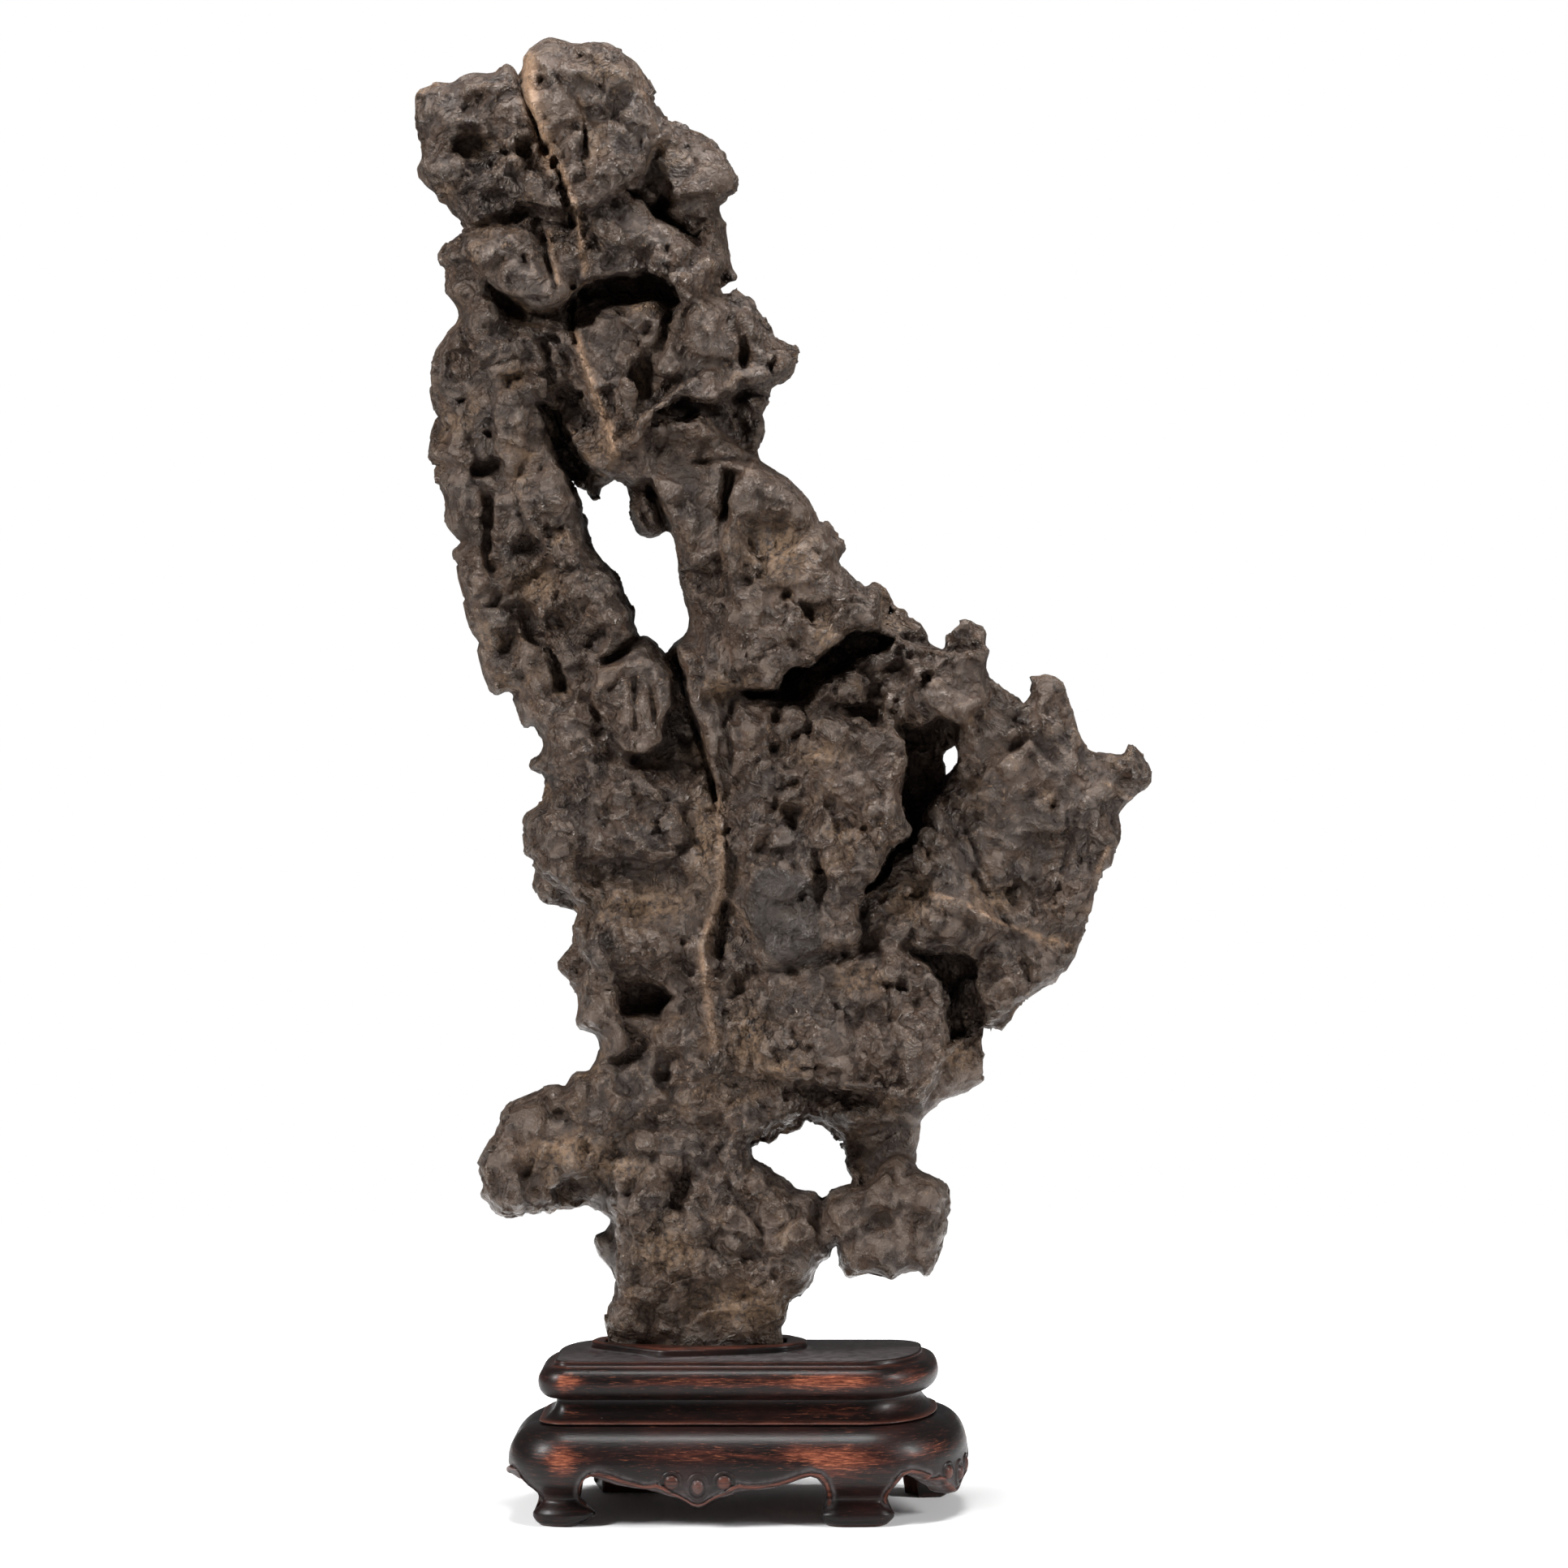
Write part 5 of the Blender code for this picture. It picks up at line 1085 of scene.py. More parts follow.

# %% [markdown]
# ## Where the stone is worn, hollow or dusty
# Handling polishes the ridges of such a stone, and dust and old clay stay in its hollows. Here the
# ridges are also painted lighter, as a painted highlight, and the deep hollows darker, as painted
# shade. A painted mask could say where, but the mesh knows it already: a point that stands out past
# the mean of its neighbours is on a ridge, and one that lies below the mean of a wide neighbourhood
# is in a hollow.
# Veins and the few named patches are drawn on the sheet like the cracks, on the front only.

# %% Ridges and hollows
def mesh_points(mesh):
    """A mesh's points in units, and its edges."""
    points = np.empty(3 * len(mesh.vertices), np.float32)
    mesh.vertices.foreach_get("co", points)
    edges = np.empty(2 * len(mesh.edges), np.int32)
    mesh.edges.foreach_get("vertices", edges)
    return (points.reshape(-1, 3) - SHEET_ORIGIN) / UNIT, edges.reshape(-1, 2)


def mesh_normals(mesh):
    """The point normals of a mesh."""
    normals = np.empty(3 * len(mesh.vertices), np.float32)
    mesh.vertices.foreach_get("normal", normals)
    return normals.reshape(-1, 3)


def standing_out(points, normals, edges, rounds):
    """How far each point stands out, along its normal, from its smoothed neighbourhood."""
    smooth = points
    for _ in range(rounds):
        smooth = smooth + 0.9 * (neighbour_mean(smooth, edges) - smooth)
    return ((points - smooth) * normals).sum(1)


def path_distance(path, u, v):
    """Distance from each point (u, v) to a line of points."""
    nearest = np.full(u.shape, 99.0)
    for (x0, y0), (x1, y1) in zip(path, path[1:]):
        ex, ey = x1 - x0, y1 - y0
        share = np.clip(((u - x0) * ex + (v - y0) * ey) / (ex * ex + ey * ey), 0.0, 1.0)
        nearest = np.minimum(nearest, np.hypot(u - x0 - share * ex, v - y0 - share * ey))
    return nearest


def set_mask(mesh, name, values):
    """One number from 0 to 1 at each point, kept with the mesh for the material to read."""
    mask = mesh.attributes.new(name, "FLOAT", "POINT")
    mask.data.foreach_set("value", np.clip(values, 0.0, 1.0).astype(np.float32))
    print(name, "mean", round(float(np.clip(values, 0.0, 1.0).mean()), 3))


points, edges = mesh_points(stone.data)
normals = mesh_normals(stone.data)
ridge = standing_out(points, normals, edges, 3)
hollow = -standing_out(points, normals, edges, 40)
RIDGE_SPAN, HOLLOW_SPAN = 2.4, 14.0              # units from the lowest mask value to the highest
# The ridge mask also lightens the ridges' colour, as a painted highlight.
set_mask(stone.data, "ridge", 0.5 + ridge / RIDGE_SPAN)
# The hollow mask darkens the deep hollows' colour, as painted shade.
set_mask(stone.data, "hollow", 0.5 + hollow / HOLLOW_SPAN)
set_mask(stone.data, "rough", how_rough(points) / ROUGHEST)

# %% Veins, dust and the dark patch
# Each vein is (strength, half width, points); each dust patch is (across, down, half width, height).
VEINS = shapes_of("""
    1 10 | 650,75 655,130 668,165 680,200
    0.9 4 | 690,205 705,245 714,280 720,330
    0.5 3 | 712,120 720,150
    0.6 3 | 676,286 683,318 688,350
    1 4 | 709,411 722,451 739,501 754,540 757,560
    0.6 6 | 885,985 888,1026 890,1060 888,1100 870,1150 865,1178 880,1290
    0.8 1.6 | 1146,1100 1180,1110 1240,1140 1322,1166
    0.7 2 | 1360,962 1392,985
    0.8 3 | 1366,1046 1352,1072""")
DUST = points_of("""
    960,680,42,40 1015,785,16,26 885,846,18,14 794,378,24,8 790,1115,60,22 965,1315,34,12 920,1280,22,40
    1230,1110,22,14 1300,1160,18,8 1030,1024,16,10 630,465,16,16 650,560,14,8 640,592,10,8 690,665,14,10
    660,720,26,20 920,1610,60,26 820,1540,40,26 700,1420,50,22 868,1030,16,60 1120,1110,30,24
    1180,1300,20,20 1010,930,30,14 760,1440,40,16""")
DARK_PATCH = points_of("933,1062 950,1066 985,1050 1005,1110 1016,1185 960,1190 935,1165 915,1122")
sheet_u, sheet_v = on_sheet(*points.T)
faces_viewer = smooth_step((0.25 - normals[:, 1]) / 0.5) * (points[:, 1] < 30.0)
vein = np.max([strength * np.exp(-(path_distance(path, sheet_u, sheet_v) / half_width) ** 2)
               for strength, half_width, path in VEINS], axis=0) * faces_viewer
dust = np.max([np.exp(-((sheet_u - u) / width) ** 2 - ((sheet_v - v) / height) ** 2)
               for u, v, width, height in DUST], axis=0) * faces_viewer
patchy = lattice_noise(points, 46.0, 81) + 0.7 * lattice_noise(points, 19.0, 82)
dust = np.maximum(dust, 0.55 * smooth_step((patchy - 0.35) / 0.7))
patch = smooth_step(0.5 - plan_distance([(u, -v) for u, v in DARK_PATCH[::-1]], sheet_u, -sheet_v) / 3.0)
set_mask(stone.data, "vein", vein)
set_mask(stone.data, "dust", dust)
set_mask(stone.data, "dark_patch", patch * faces_viewer)

# %% [markdown]
# ## The stone's finish
# Close up the colour is never even: brown and violet-grey wander through each other at every size,
# the ridges are rubbed to a dull shine and painted lighter as a highlight, and the hollows are matt
# and dusty, with the deep ones painted darker as shade. One picture wrapped round the stone would
# stretch on its cliffs, so the pattern is solid noise in the stone's own space, mixed by the masks.
# Grain finer than the mesh is left to bump.

# %% Helpers for finishes
def new_finish(name):
    """A material with its shader and the two things that every finish here reads."""
    finish = bpy.data.materials.new(name)
    finish.use_nodes = True
    tree = finish.node_tree
    return finish, tree, tree.nodes["Principled BSDF"], add_node(tree, "TexCoord").outputs["Object"]


def noise_at(tree, where, scale, detail=4.0, rough=0.6):
    """Solid noise; its scale is in lumps to the metre."""
    return add_node(tree, "TexNoise", {"Vector": where, "Scale": scale, "Detail": detail,
                                       "Roughness": rough}).outputs["Fac"]


def mask_of(tree, name):
    """A mask that was kept with the mesh."""
    return add_node(tree, "Attribute", attribute_name=name).outputs["Fac"]


def times(tree, a, b, how="MULTIPLY"):
    """Two values put together, as a product unless another way is named."""
    return add_node(tree, "Math", {0: a, 1: b}, operation=how).outputs[0]


def coats(tree, colour, *layers):
    """A colour with coats laid over it: each is (share, red, green, blue)."""
    for share, *coat in layers:
        colour = add_node(tree, "Mix", {0: share, 6: colour, 7: (*coat, 1.0)}, data_type="RGBA").outputs[2]
    return colour

# %% Stone
stone_finish, tree, shader, where = new_finish("worn_limestone")
wander = add_node(tree, "TexNoise", {"Vector": where, "Scale": 90.0, "Detail": 3.0}).outputs["Color"]
wander = add_node(tree, "VectorMath", {0: wander, 1: (0.007, 0.007, 0.007)}, operation="MULTIPLY")
warped = add_node(tree, "VectorMath", {0: where, 1: wander.outputs[0]}, operation="ADD").outputs[0]
broad, middling = noise_at(tree, where, 26.0), noise_at(tree, warped, 110.0)
fine, grit = noise_at(tree, where, 420.0, 6.0, 0.7), noise_at(tree, where, 1500.0, 3.0, 0.7)
ridge_mask, shade_in_hollows = mask_of(tree, "ridge"), mask_of(tree, "hollow")
chips = add_node(tree, "TexNoise", {"Vector": warped, "Scale": 140.0, "Detail": 7.0, "Roughness": 0.62,
                                    "Lacunarity": 2.2, "Offset": 0.9, "Gain": 1.6},
                 noise_type="RIDGED_MULTIFRACTAL", normalize=True).outputs["Fac"]

patches = ramp(tree, noise_at(tree, where, 38.0, 5.0, 0.65), 0.46, 0.62, 0.15, 1.0)
flecks = ramp(tree, noise_at(tree, where, 520.0, 6.0, 0.75), 0.585, 0.64)
dusty = times(tree, mask_of(tree, "dust"), ramp(tree, fine, 0.38, 0.58))
stained = times(tree, mask_of(tree, "vein"), ramp(tree, fine, 0.30, 0.60, 0.45, 0.95))
colour = coats(
    tree, (0.032, 0.0162, 0.0090, 1.0),                                        # brown
    (ramp(tree, broad, 0.38, 0.62), 0.0240, 0.0140, 0.0100),                   # violet-grey
    (ramp(tree, middling, 0.42, 0.72), 0.060, 0.0338, 0.0202),                 # weathered skin
    (ramp(tree, fine, 0.46, 0.30, 0.0, 0.7), 0.013, 0.0075, 0.005),            # fine dark grain
    (ramp(tree, ridge_mask, 0.66, 1.0, 0.0, 0.42), 0.130, 0.096, 0.074),       # rubbed ridges, painted lighter as a highlight
    (ramp(tree, shade_in_hollows, 0.62, 1.0, 0.0, 0.35), 0.016, 0.009, 0.006),      # painted shade in the deep hollows
    (times(tree, times(tree, patches, flecks), 0.6), 0.300, 0.185, 0.105),     # clay in the pores
    (times(tree, dusty, 0.70), 0.230, 0.142, 0.080),
    (times(tree, mask_of(tree, "dark_patch"), 0.9), 0.0140, 0.0085, 0.0060),
    (stained, 0.330, 0.205, 0.125))                                            # veins
tree.links.new(colour, shader.inputs["Base Color"])
polish = times(tree, ramp(tree, ridge_mask, 0.40, 0.85), ramp(tree, middling, 0.35, 0.60))
roughness = times(tree, ramp(tree, polish, 0.0, 1.0, 0.46, 0.22), times(tree, dusty, 0.25), "ADD")
tree.links.new(roughness, shader.inputs["Roughness"])
shader.inputs["Specular IOR Level"].default_value = 0.46
shader.inputs["Specular Tint"].default_value = (1.0, 0.93, 0.88, 1.0)


def scallops(tree, where, scale):
    """Shallow bowls with crisp ridges between them: the squared distance to the nearest spot."""
    distance = add_node(tree, "TexVoronoi", {"Vector": where, "Scale": scale}).outputs["Distance"]
    return times(tree, distance, distance)


rough_mask = mask_of(tree, "rough")
relief = times(tree, times(tree, fine, 0.50), times(tree, grit, 0.20), "ADD")
chipped = times(tree, chips, ramp(tree, rough_mask, 0.2, 0.9, 0.55, 1.25))
cupped = times(tree, scallops(tree, warped, 330.0), ramp(tree, rough_mask, 0.3, 0.9, 0.15, 0.45))
relief = times(tree, times(tree, relief, chipped, "ADD"), cupped, "ADD")
bump = add_node(tree, "Bump", {"Height": relief, "Strength": 1.0, "Distance": 0.0014})
tree.links.new(bump.outputs["Normal"], shader.inputs["Normal"])
stone.data.materials.append(stone_finish)
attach(stone, "root")
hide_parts("rock")
print("stone finish of", len(tree.nodes), "nodes")

# %% [markdown]
# ## The stand's plan and profile
# The stand is cut from one block. Its flat top has four different corners, because the carver followed
# the stone's foot, and every moulding below runs parallel to that edge. A lathe would need a round
# plan, so the profile is carried round the edge instead: a point of the surface is a place on the edge
# plus an outset along the edge's normal, at a height.

# %% Plan of the flat top
# Corners of the flat top, as (across, back, corner radius across, corner radius back).
TOP_CORNERS = [(-225, -88, 15, 15), (220, -88, 78, 112), (220, 84, 36, 34), (-224, 84, 52, 90)]
CORNER_TURNS = [(1, 1, 2), (-1, 1, 3), (-1, -1, 0), (1, -1, 1)]  # way in from the corner, first quarter
WIDEST = 58.0                                    # outset of the base's bulge


def top_edge(count):
    """The edge, anticlockwise from above: elliptical corners joined by straight sides, then read
    again at even spaces along the bulge outside it. Returns places, outward normals, the distance
    travelled at each of them, and the whole length."""
    turns = np.linspace(0.0, math.pi / 2.0, 48)
    places, normals = [], []
    for (x, y, rx, ry), (sx, sy, quarter) in zip(TOP_CORNERS, CORNER_TURNS):
        angle = quarter * math.pi / 2.0 + turns
        places.append(np.stack([x + sx * rx + rx * np.cos(angle), y + sy * ry + ry * np.sin(angle)], 1))
        normal = np.stack([np.cos(angle) / rx, np.sin(angle) / ry], 1)
        normals.append(normal / np.linalg.norm(normal, axis=1)[:, None])
    places, normals = np.concatenate(places), np.concatenate(normals)
    outer = places + normals * WIDEST
    travel = np.concatenate([[0.0], np.cumsum(np.linalg.norm(np.roll(outer, -1, 0) - outer, axis=1))])
    wanted = np.linspace(0.0, travel[-1], count, endpoint=False)
    places, normals = (
        np.stack([np.interp(wanted, travel, np.append(table[:, n], table[0, n])) for n in (0, 1)], 1)
        for table in (places, normals))
    return places, normals / np.linalg.norm(normals, axis=1)[:, None], wanted, travel[-1]


def shorter_way(gap):
    """A distance along the edge, taken the shorter way round it, below zero going back."""
    return (gap + edge_length / 2) % edge_length - edge_length / 2


def rings_along(places, normals, profile):
    """A grid of points: each (outset, height) of the profile, carried round the edge."""
    plan = places[None] + normals[None] * profile[:, 0, None, None]
    height = np.broadcast_to(profile[:, 1, None, None], plan.shape[:2] + (1,))
    return np.concatenate([plan, height], -1)


def ring_at(plan, height):
    """One closed ring of points over a plan, at one height or at a height for each column."""
    return np.column_stack([plan, np.broadcast_to(height, (len(plan),))])[None]


def arc(out, height, radius_out, radius_height, start, end, steps):
    """Points of an ellipse's arc, as (outset, height), between two angles in degrees."""
    angle = np.radians(np.linspace(start, end, steps))
    return np.stack([out + radius_out * np.cos(angle), height + radius_height * np.sin(angle)], 1)


def close_rings(grid):
    """Points and quads of rings joined one below the next, closed all the way round."""
    row, column = np.meshgrid(np.arange(grid.shape[0] - 1), np.arange(grid.shape[1]), indexing="ij")
    right = (column + 1) % grid.shape[1]
    quads = np.stack([row * grid.shape[1] + column, (row + 1) * grid.shape[1] + column,
                      (row + 1) * grid.shape[1] + right, row * grid.shape[1] + right], -1)
    middle = np.array([STAND_MIDDLE, 0.0, 0.0])
    return grid.reshape(-1, 3) + middle, quads.reshape(-1, 4)

# %% Socket and collar
FOOT_GAP = 4.0                                   # clearance round the stone's foot
COLLAR_TOP, STAND_TOP, SOCKET_FLOOR = 204.5, 193.5, FOOT_BOTTOM - 1.0
COLLAR_PLAN = points_of("""
    -188,8 -180,-6 -152,-28 -121,-51 -95,-68 -66,-66 5,-52 52,-36 78,-8 80,26 60,56 8,70 -76,74 -150,62
    -182,36""")
COLLAR_COLUMNS = 600
PLAN_SQUEEZE = (240.0 / 130.0, 95.0 / 60.0)      # how the stand's edge is squeezed onto the collar


def ring_from_plan(corners, places):
    """A closed plan, read in the direction of each place of the edge from the plan's own centre."""
    corners = np.array(corners, float)
    centre = corners.mean(0)
    ring = np.vstack([corners, corners[:1]])
    steps = np.linspace(0.0, 1.0, 24, endpoint=False)[:, None]
    dense = np.concatenate([a + (b - a) * steps for a, b in zip(ring, ring[1:])]) - centre
    angles = np.arctan2(dense[:, 1], dense[:, 0])
    order = np.argsort(angles)
    wanted = np.arctan2(places[:, 1] / PLAN_SQUEEZE[1], places[:, 0] / PLAN_SQUEEZE[0])
    reach = np.interp(wanted, angles[order], np.linalg.norm(dense, axis=1)[order], period=2 * math.pi)
    return centre + np.stack([np.cos(wanted), np.sin(wanted)], 1) * reach[:, None]

# %% The upper stand
BASE_TOP = 117.6                                 # where the fillet meets the base
scotia = np.linspace(0.0, 1.0, 12)[:, None]
MOULDINGS = np.concatenate([
    arc(-1.4, 191.3, 3.0, 2.2, 90, 10, 6),                          # rounded lip of the flat top
    [(1.6, 189.4), (2.8, 188.0), (3.6, 186.8), (5.0, 186.2)],       # a narrow step
    arc(5.5, 167.2, 16.5, 19.0, 84, -84, 20),                       # torus
    [(5.0, 149.1), (2.0, 147.9)],
    np.hstack([-0.5 + 15.0 * scotia ** 2.4, 146.8 - 24.5 * scotia]),  # scotia, a hollow
    [(16.6, 121.9), (19.0, 121.7), (20.1, 121.1), (20.4, 120.2), (20.0, 119.2), (18.6, 118.4),
     (15.0, 118.0)],                                                # fillet
])
places, normals, travel, edge_length = top_edge(COLLAR_COLUMNS)
socket, collar = ring_from_plan(FOOT_PLAN, places), ring_from_plan(COLLAR_PLAN, places)
collar = np.mean([np.roll(collar, shift, axis=0) for shift in range(-6, 7)], axis=0)
centre = socket.mean(0)
socket = centre + (socket - centre) * (1 + FOOT_GAP / np.linalg.norm(socket - centre, axis=1))[:, None]
# Each ring from socket to collar as (share of the collar, height below the collar's top).
COLLAR_RINGS = [(0.0, 12.0), (0.0, 3.0), (0.04, 1.0), (0.12, 0.2), (0.4, 0.0), (0.7, 0.2), (0.86, 0.6),
                (0.95, 1.4), (0.99, 2.8), (1.0, 4.4), (1.01, 8.4), (1.03, 10.2)]
upper = np.concatenate(
    [ring_at(centre + (socket - centre) * 0.01, SOCKET_FLOOR), ring_at(socket, SOCKET_FLOOR)]
    + [ring_at(socket + (collar - socket) * share, COLLAR_TOP - drop) for share, drop in COLLAR_RINGS]
    + [ring_at(collar + (places - normals * 4.0 - collar) * share, STAND_TOP)
       for share in (0.06, 0.3, 0.65, 1.0)]
    + [rings_along(places, normals, MOULDINGS), ring_at(places * 0.01, BASE_TOP - 0.6)])
print("upper stand of", upper.shape[0], "rings of", upper.shape[1])

# %% [markdown]
# ## Legs, aprons and their ornament
# Below its widest line the base is cut away into four cabriole legs with scalloped aprons between
# them. Everything is measured along the edge, so a leg keeps its shape on a straight side and round
# a corner. A raised bead follows each apron's lower edge and runs along its lip, under two round knobs
# with an oval one between them. The ornament could be rods laid on the wood, but it was cut from the
# same block: so it is a height added to the base's own points, with a groove beside it where the
# chisel went down.

# %% Places along the edge
LEG_PLACES = [(-230, -134), (144, -105), (229, 80), (-143, 80)]   # front left, then round to the right
FRONT_ORNAMENT = (-52.0, -146.0)                 # the front ornament sits left of halfway
# The aprons' lower edge, as (distance along it from the middle of a leg, height).
APRON_EDGE = [(0, 0), (39, 0), (41, 8), (42, 26), (44, 42), (48, 54), (54, 61), (62, 63), (76, 59),
              (92, 53), (108, 49), (124, 47), (400, 47)]
# Under the ornament the wood hangs lower: (distance from its middle, drop).
ORNAMENT_DROP = [(0, 21), (7, 19), (14, 14.5), (24, 9.5), (34, 7.5), (45, 4), (60, 0), (400, 0)]
BASE_COLUMNS = 1150
base_places, base_normals, base_travel, _ = top_edge(BASE_COLUMNS)


def place_on_edge(place):
    """Distance travelled along the edge to the column whose bulge is nearest to a place."""
    outer = base_places + base_normals * 50.0
    return base_travel[np.argmin(np.hypot(*(outer - np.array(place)).T))]


def gap_to(marks):
    """For each column, the signed distance along the edge from the nearest mark."""
    gaps = shorter_way(base_travel[:, None] - np.array(marks)[None, :])
    return gaps[np.arange(BASE_COLUMNS), np.abs(gaps).argmin(1)]


leg_marks = sorted(place_on_edge(place) for place in LEG_PLACES)
next_legs = leg_marks[1:] + [leg_marks[0] + edge_length]
halfway = [(a + b) / 2.0 for a, b in zip(leg_marks, next_legs)]
front_mark = place_on_edge(FRONT_ORNAMENT)
ornament_marks = [front_mark if abs(mark - front_mark) < 60.0 else mark for mark in halfway]
beside_leg = gap_to(leg_marks)
from_leg, beside_ornament = np.abs(beside_leg), gap_to(ornament_marks)
slimmer = np.interp(base_travel, [leg_marks[0] + 70.0, leg_marks[0] + 110.0], [0.86, 1.0])
from_leg = from_leg / slimmer                    # the left front leg is slimmer
low_edge = np.interp(from_leg, *zip(*APRON_EDGE))
low_edge = low_edge - np.interp(np.abs(beside_ornament), *zip(*ORNAMENT_DROP)) * (from_leg > 60.0)
print("legs at", [round(m) for m in leg_marks], "ornaments at", [round(m) for m in ornament_marks])

# %% The base
LEG_PROFILE = [(0.0, 33.0), (1.2, 36.5), (4.0, 40.0), (9.0, 42.0), (15.0, 41.5), (20.0, 38.5),
               (24.5, 34.0), (28.0, 30.5), (32.0, 29.5), (37.0, 32.0), (43.0, 38.0), (50.0, 46.0),
               (58.0, 53.0), (66.0, 56.5), (73.0, 58.0)]  # (height, outset)
LEG_HALF_WIDTH = 44.0
BASE_SHOULDER, CEILING = 73.0, 84.0
BASE_ROWS = 46
PAD_SPREAD = 9.0                                 # how far a foot pad stands out beside its leg
leg_share = smooth_step((LEG_HALF_WIDTH + 22.0 - from_leg) / 22.0)
shoulder = arc(18.0, BASE_SHOULDER, 40.0, BASE_TOP - BASE_SHOULDER, 90, 0, 26)[:-1]


def base_row(share):
    """The ring at a share of the way down from the widest line to the lower edge. A leg follows its
    curve by height; an apron is nearly upright, and both blend beside the leg."""
    height = BASE_SHOULDER + (low_edge - BASE_SHOULDER) * share
    leg_out = np.interp(height, *zip(*LEG_PROFILE))
    tuck = np.clip((low_edge + 9.0 - height) / 9.0, 0.0, 1.0)
    apron_out = WIDEST - 3.0 * share ** 2 - 9.0 * tuck ** 2 * (from_leg > LEG_HALF_WIDTH - 4.0)
    corner = np.clip((from_leg - 22.0) / 19.0, 0.0, 1.0) ** 2 * np.clip((46.0 - height) / 26.0, 0.0, 1.0)
    out = apron_out + (leg_out - 9.0 * corner - apron_out) * leg_share
    pad = np.exp(-((height - 13.0) / 10.0) ** 2) * smooth_step((from_leg - 8.0) / 32.0) * (low_edge < 20)
    tangent = np.stack([-base_normals[:, 1], base_normals[:, 0]], 1)
    plan = base_places + base_normals * out[:, None]
    toe = 15.0 * np.exp(-((height - 18.0) / 9.0) ** 2) * smooth_step(beside_leg / 34.0) * (low_edge < 20)
    toe = toe * (np.abs(base_travel - leg_marks[0]) < 60.0)     # the left foot points inwards
    plan = plan + tangent * (PAD_SPREAD * pad * np.sign(beside_leg) + toe)[:, None]
    return ring_at(plan, height)


outer_rows = [base_row(share) for share in np.linspace(0.0, 1.0, BASE_ROWS)]
thickness = 30.0 + 22.0 * leg_share
inner = base_places + base_normals * (52.0 - thickness)[:, None]
lip = outer_rows[-1][0, :, :2]
base = np.concatenate(
    [ring_at(base_places * 0.01, BASE_TOP), rings_along(base_places, base_normals, shoulder)]
    + outer_rows
    + [ring_at(lip + (inner - lip) * share, np.maximum(low_edge - drop, 0.0))
       for share, drop in ((0.04, 0.6), (0.12, 0.8), (0.4, 0.2), (0.8, -0.2), (1.0, -1.6))]
    + [ring_at(inner * 0.97, 0.5 * (low_edge + CEILING)), ring_at(inner * 0.94, CEILING - 4.0),
       ring_at(inner * 0.88, CEILING), ring_at(inner * 0.01, CEILING)])
print("base of", base.shape[0], "rings of", base.shape[1])

# %% Bead and knobs
# The bead's line beside a leg, as (distance from the leg's middle, height), and beside an ornament.
BEAD_BY_LEG = [(38.5, 27), (39.5, 42), (43.5, 57), (51, 65), (62, 67.5), (76, 64), (92, 58), (108, 54),
               (124, 52)]
BEAD_BY_ORNAMENT = [(66, 51.5), (56, 52), (50, 53.5), (41, 50.5), (37, 47.5), (34, 45)]
KNOB_GAP, KNOB_HEIGHT, KNOB_RADIUS = 31.5, 57.5, 8.6
LIP_BEAD = [(-34, 45), (-24, 41), (-14, 35.5), (-7, 31), (0, 29.3), (7, 31), (14, 35.5), (24, 41), (34, 45)]
BEAD_HEIGHT, BEAD_HALF_WIDTH = 3.4, 3.0
travel_grid = np.broadcast_to(base_travel[None, :], base.shape[:2])
height_grid = base[..., 2]


def rounded(distance, half_width):
    """Height of a round rod lying on the surface, 1 on its crest and 0 past its half width."""
    return np.sqrt(np.clip(1.0 - (distance / half_width) ** 2, 0.0, 1.0))


raised, crest, groove, swell_all = np.zeros((4, *base.shape[:2]))
for mark, before, after in zip(ornament_marks, leg_marks, next_legs):
    u = shorter_way(travel_grid - mark)
    near = [path_distance(LIP_BEAD, u, height_grid)]
    for side, leg in ((-1, mark - before), (1, after - mark)):
        run = [(leg - gap, height) for gap, height in BEAD_BY_LEG if gap < leg - BEAD_BY_ORNAMENT[0][0]]
        near.append(path_distance(run + BEAD_BY_ORNAMENT, u * side, height_grid))
    bead = np.minimum(np.min(near[1:], axis=0), near[0] * 1.25)
    dome = rounded(np.hypot(u / 7.0, (height_grid - 52.0) / 8.6), 1.0)
    ring_round = rounded(np.abs(np.hypot(u, (height_grid - 52.0) / 1.25) - 11.5), 2.0)
    for knob in (-KNOB_GAP, KNOB_GAP):
        from_knob = np.hypot(u - knob, height_grid - KNOB_HEIGHT)
        dome = np.maximum(dome, rounded(from_knob, KNOB_RADIUS))
        hook = rounded(np.abs(from_knob - KNOB_RADIUS - 3.0), 1.9) * (height_grid > KNOB_HEIGHT - 3.0)
        ring_round = np.maximum(ring_round, hook)
    raised = np.maximum(raised, BEAD_HEIGHT * rounded(bead, BEAD_HALF_WIDTH))
    raised = np.maximum(raised, np.maximum(4.4 * dome, 1.8 * ring_round))
    crest = np.maximum(crest, np.maximum(rounded(bead, BEAD_HALF_WIDTH * 0.8), 0.8 * dome))
    groove = np.maximum(groove, np.exp(-((bead - 5.4) / 2.4) ** 2) * (raised < 0.2))
    swell = np.exp(-(u / 30.0) ** 2 - ((height_grid - 50.0) / 14.0) ** 2)
    swell_all = np.maximum(swell_all, swell)
outside = (np.arange(base.shape[0]) > 6) & (np.arange(base.shape[0]) < len(shoulder) + BASE_ROWS)
lift = (raised + 2.0 * swell_all - 1.3 * groove) * outside[:, None]
base[..., :2] += base_normals[None] * lift[..., None]
print("raised by up to", round(float(lift.max() * UNIT * 1000), 2), "mm")

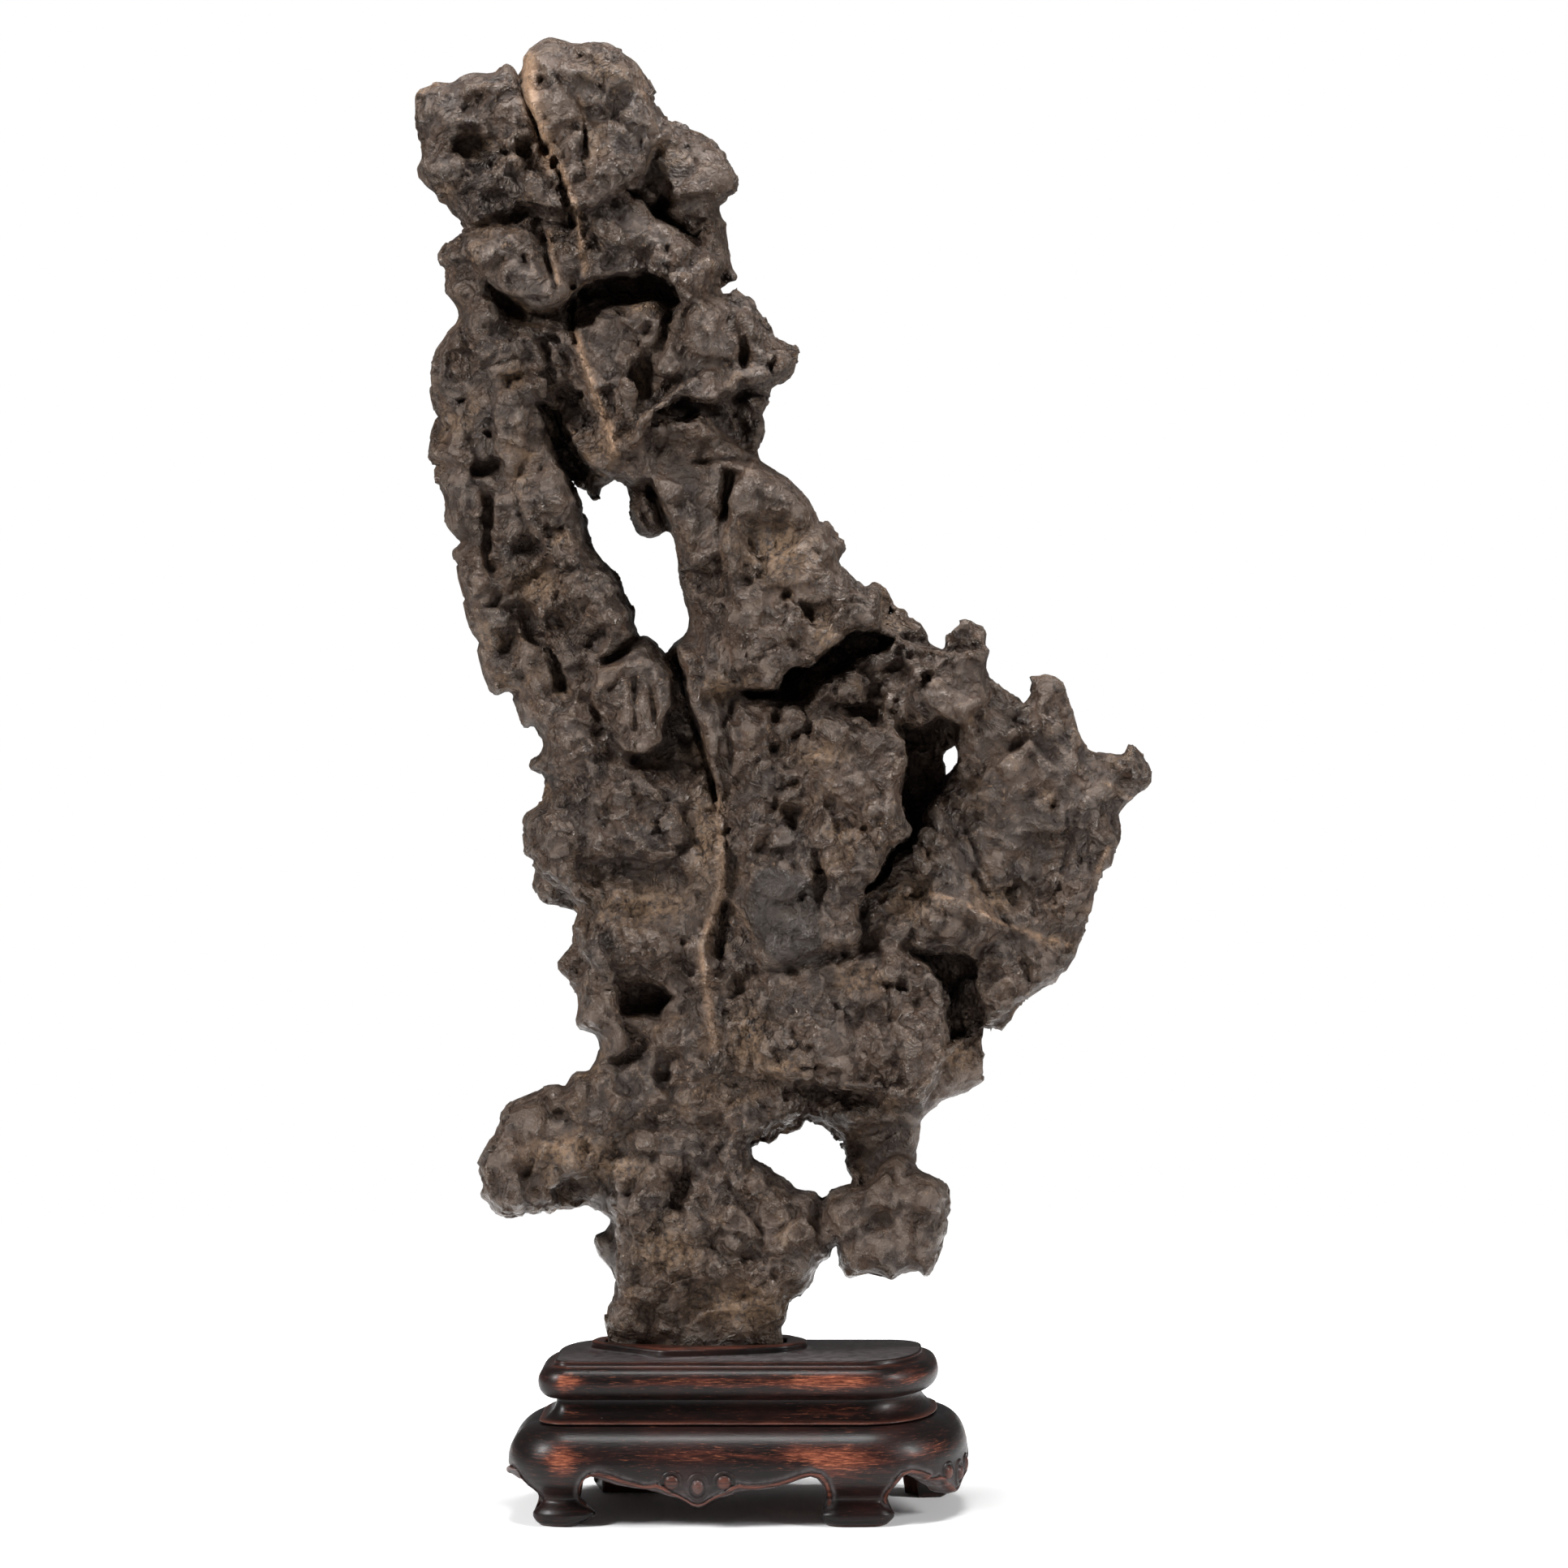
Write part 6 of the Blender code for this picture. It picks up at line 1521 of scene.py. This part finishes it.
# %% [markdown]
# ## The stand's finish
# The wood was lacquered nearly black, and two lifetimes of hands have rubbed it back to red-brown
# where they took hold: on the corners of the mouldings, and in thin lines on every crisp edge. On the
# crests of the bead and the knobs that thin line is also a painted highlight, and the dust on the flat
# top grows lighter towards the right as a painted sheen. Wear could be noise alone, but noise does not
# know where the corners are. So each point is told how far it is rubbed, from its place in the profile
# and along the edge, and the shader breaks that up with the long fine streaks of a polishing cloth.

# %% Where the lacquer is rubbed
# Places on the plan where hands rubbed it, as (across, back, half length along the edge, strength).
RUBBED_PLACES = [(-216, -144, 22, 1.0), (105, -146, 64, 0.95), (230, -100, 60, 0.4), (272, 60, 60, 0.8),
                 (120, 142, 80, 0.6), (-230, 110, 60, 0.8), (-40, -146, 90, 0.35)]


def rubbed_along(travel, places, normals):
    """A share for each column, high near the rubbed places."""
    outer = places + normals * 50.0
    share = np.zeros(len(travel))
    for x, y, half_length, strength in RUBBED_PLACES:
        middle = travel[np.argmin(np.hypot(outer[:, 0] - x, outer[:, 1] - y))]
        gap = shorter_way(travel - middle)
        share = np.maximum(share, strength * np.exp(-(gap / half_length) ** 2))
    return share


def band(height, middle, half_height):
    """1 at a height, fading above and below it."""
    return np.exp(-((height - middle) / half_height) ** 2)


height = upper[..., 2]
share = rubbed_along(travel, places, normals)[None, :]
upper_rubbed = share * (band(height, 171.0, 12.0) + 0.5 * band(height, 134.0, 10.0))
upper_rubbed = upper_rubbed + 0.25 * band(height, 171.0, 8.0)
lines = 0.8 * band(height, 121.2, 1.1) + 0.6 * band(height, 191.0, 1.0)
lines = lines + 0.4 * band(height, 186.6, 0.8) + 0.8 * band(height, 203.9, 0.9)
row = np.arange(upper.shape[0])[:, None]
# Dust on the flat top. Its share grows towards the right as a painted sheen, lighter where light glances
# off the top.
flat = ((row >= 2 + len(COLLAR_RINGS) - 1) & (row < 2 + len(COLLAR_RINGS) + 5)) * np.ones(height.shape)
flat = flat * np.clip(1.0 + upper[..., 0] / 300.0, 0.6, 1.6)
upper_masks = {"rubbed": upper_rubbed, "edge_line": lines, "dusty": flat}

height = base[..., 2]
share = rubbed_along(base_travel, base_places, base_normals)[None, :]
legs = leg_share[None, :] * np.ones(height.shape)
base_rubbed = share * band(height, 90.0 - 8.0 * legs, 13.0 + 8.0 * legs)
base_rubbed = (base_rubbed + 0.15 * band(height, 88.0, 8.0)) * (1.0 - groove)
# Thin rubbed lines on crisp edges. On the crests of the bead and the knobs this line is also a painted
# highlight.
lines = crest * (height > 20.0) + 0.6 * band(height, 1.2, 1.2) * legs
lines = lines + 0.2 * band(height, low_edge[None, :] + 1.0, 1.5) * (1.0 - legs)
base_masks = {"rubbed": base_rubbed, "edge_line": lines, "dusty": 0.8 * groove + 0.3 * swell_all}

# %% Lacquered wood
wood_finish, tree, shader, where = new_finish("rubbed_lacquer")
streaked = add_node(tree, "Mapping", {"Vector": where, "Scale": (1.0, 1.0, 11.0)}).outputs["Vector"]
streaks, hairs = noise_at(tree, streaked, 70.0, 5.0, 0.65), noise_at(tree, streaked, 240.0, 4.0, 0.7)
broad, grit = noise_at(tree, where, 45.0, 3.0), noise_at(tree, where, 900.0, 3.0, 0.7)
rubbed, edge_line, dusty = (mask_of(tree, name) for name in ("rubbed", "edge_line", "dusty"))

through = times(tree, times(tree, rubbed, 0.70), times(tree, streaks, 1.5), "ADD")
bare = times(tree, times(tree, rubbed, 0.50), times(tree, hairs, 2.2), "ADD")
thin = times(tree, edge_line, ramp(tree, streaks, 0.36, 0.56, 0.2, 0.9))
dust_and_sheen = times(tree, dusty, ramp(tree, noise_at(tree, where, 260.0, 5.0, 0.7), 0.30, 0.62, 0.35, 1.0))
colour = coats(
    tree, (0.0040, 0.0030, 0.0030, 1.0),                                       # black lacquer
    (ramp(tree, broad, 0.40, 0.65, 0.1, 0.8), 0.0130, 0.0050, 0.0042),         # brown lacquer
    (ramp(tree, hairs, 0.50, 0.72, 0.0, 0.28), 0.040, 0.014, 0.009),           # hair scratches
    (ramp(tree, through, 0.88, 1.55), 0.070, 0.018, 0.011),                    # lacquer rubbed thin
    (ramp(tree, bare, 1.35, 2.05, 0.0, 0.90), 0.310, 0.100, 0.052),            # bare wood
    (thin, 0.110, 0.036, 0.023),                                               # crisp edges rubbed thin, and a painted highlight on the bead's crests
    (times(tree, dust_and_sheen, 0.6), 0.130, 0.114, 0.115))                          # dust, and a painted sheen lighter towards the top's right
tree.links.new(colour, shader.inputs["Base Color"])
roughness = times(tree, ramp(tree, streaks, 0.30, 0.70, 0.30, 0.40), times(tree, dust_and_sheen, 0.2), "ADD")
tree.links.new(roughness, shader.inputs["Roughness"])
shader.inputs["Specular IOR Level"].default_value = 0.14
shader.inputs["Coat Weight"].default_value = 0.08
shader.inputs["Coat Roughness"].default_value = 0.22
pits = ramp(tree, add_node(tree, "TexVoronoi", {"Vector": where, "Scale": 85.0}).outputs["Distance"],
            0.03, 0.06)
relief = times(tree, times(tree, hairs, 0.5), times(tree, pits, 0.8), "ADD")
relief = times(tree, relief, times(tree, grit, 0.12), "ADD")
bump = add_node(tree, "Bump", {"Height": relief, "Strength": 0.5, "Distance": 0.0004})
tree.links.new(bump.outputs["Normal"], shader.inputs["Normal"])

for name, grid, masks in (("stand_top", upper, upper_masks), ("stand_base", base, base_masks)):
    piece = add_piece(name, *close_rings(grid))
    for mask, values in masks.items():
        set_mask(piece.data, mask, values.ravel())
    piece.data.materials.append(wood_finish)
    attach(piece, "root")
    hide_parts("stand")
print("wood finish of", len(tree.nodes), "nodes")
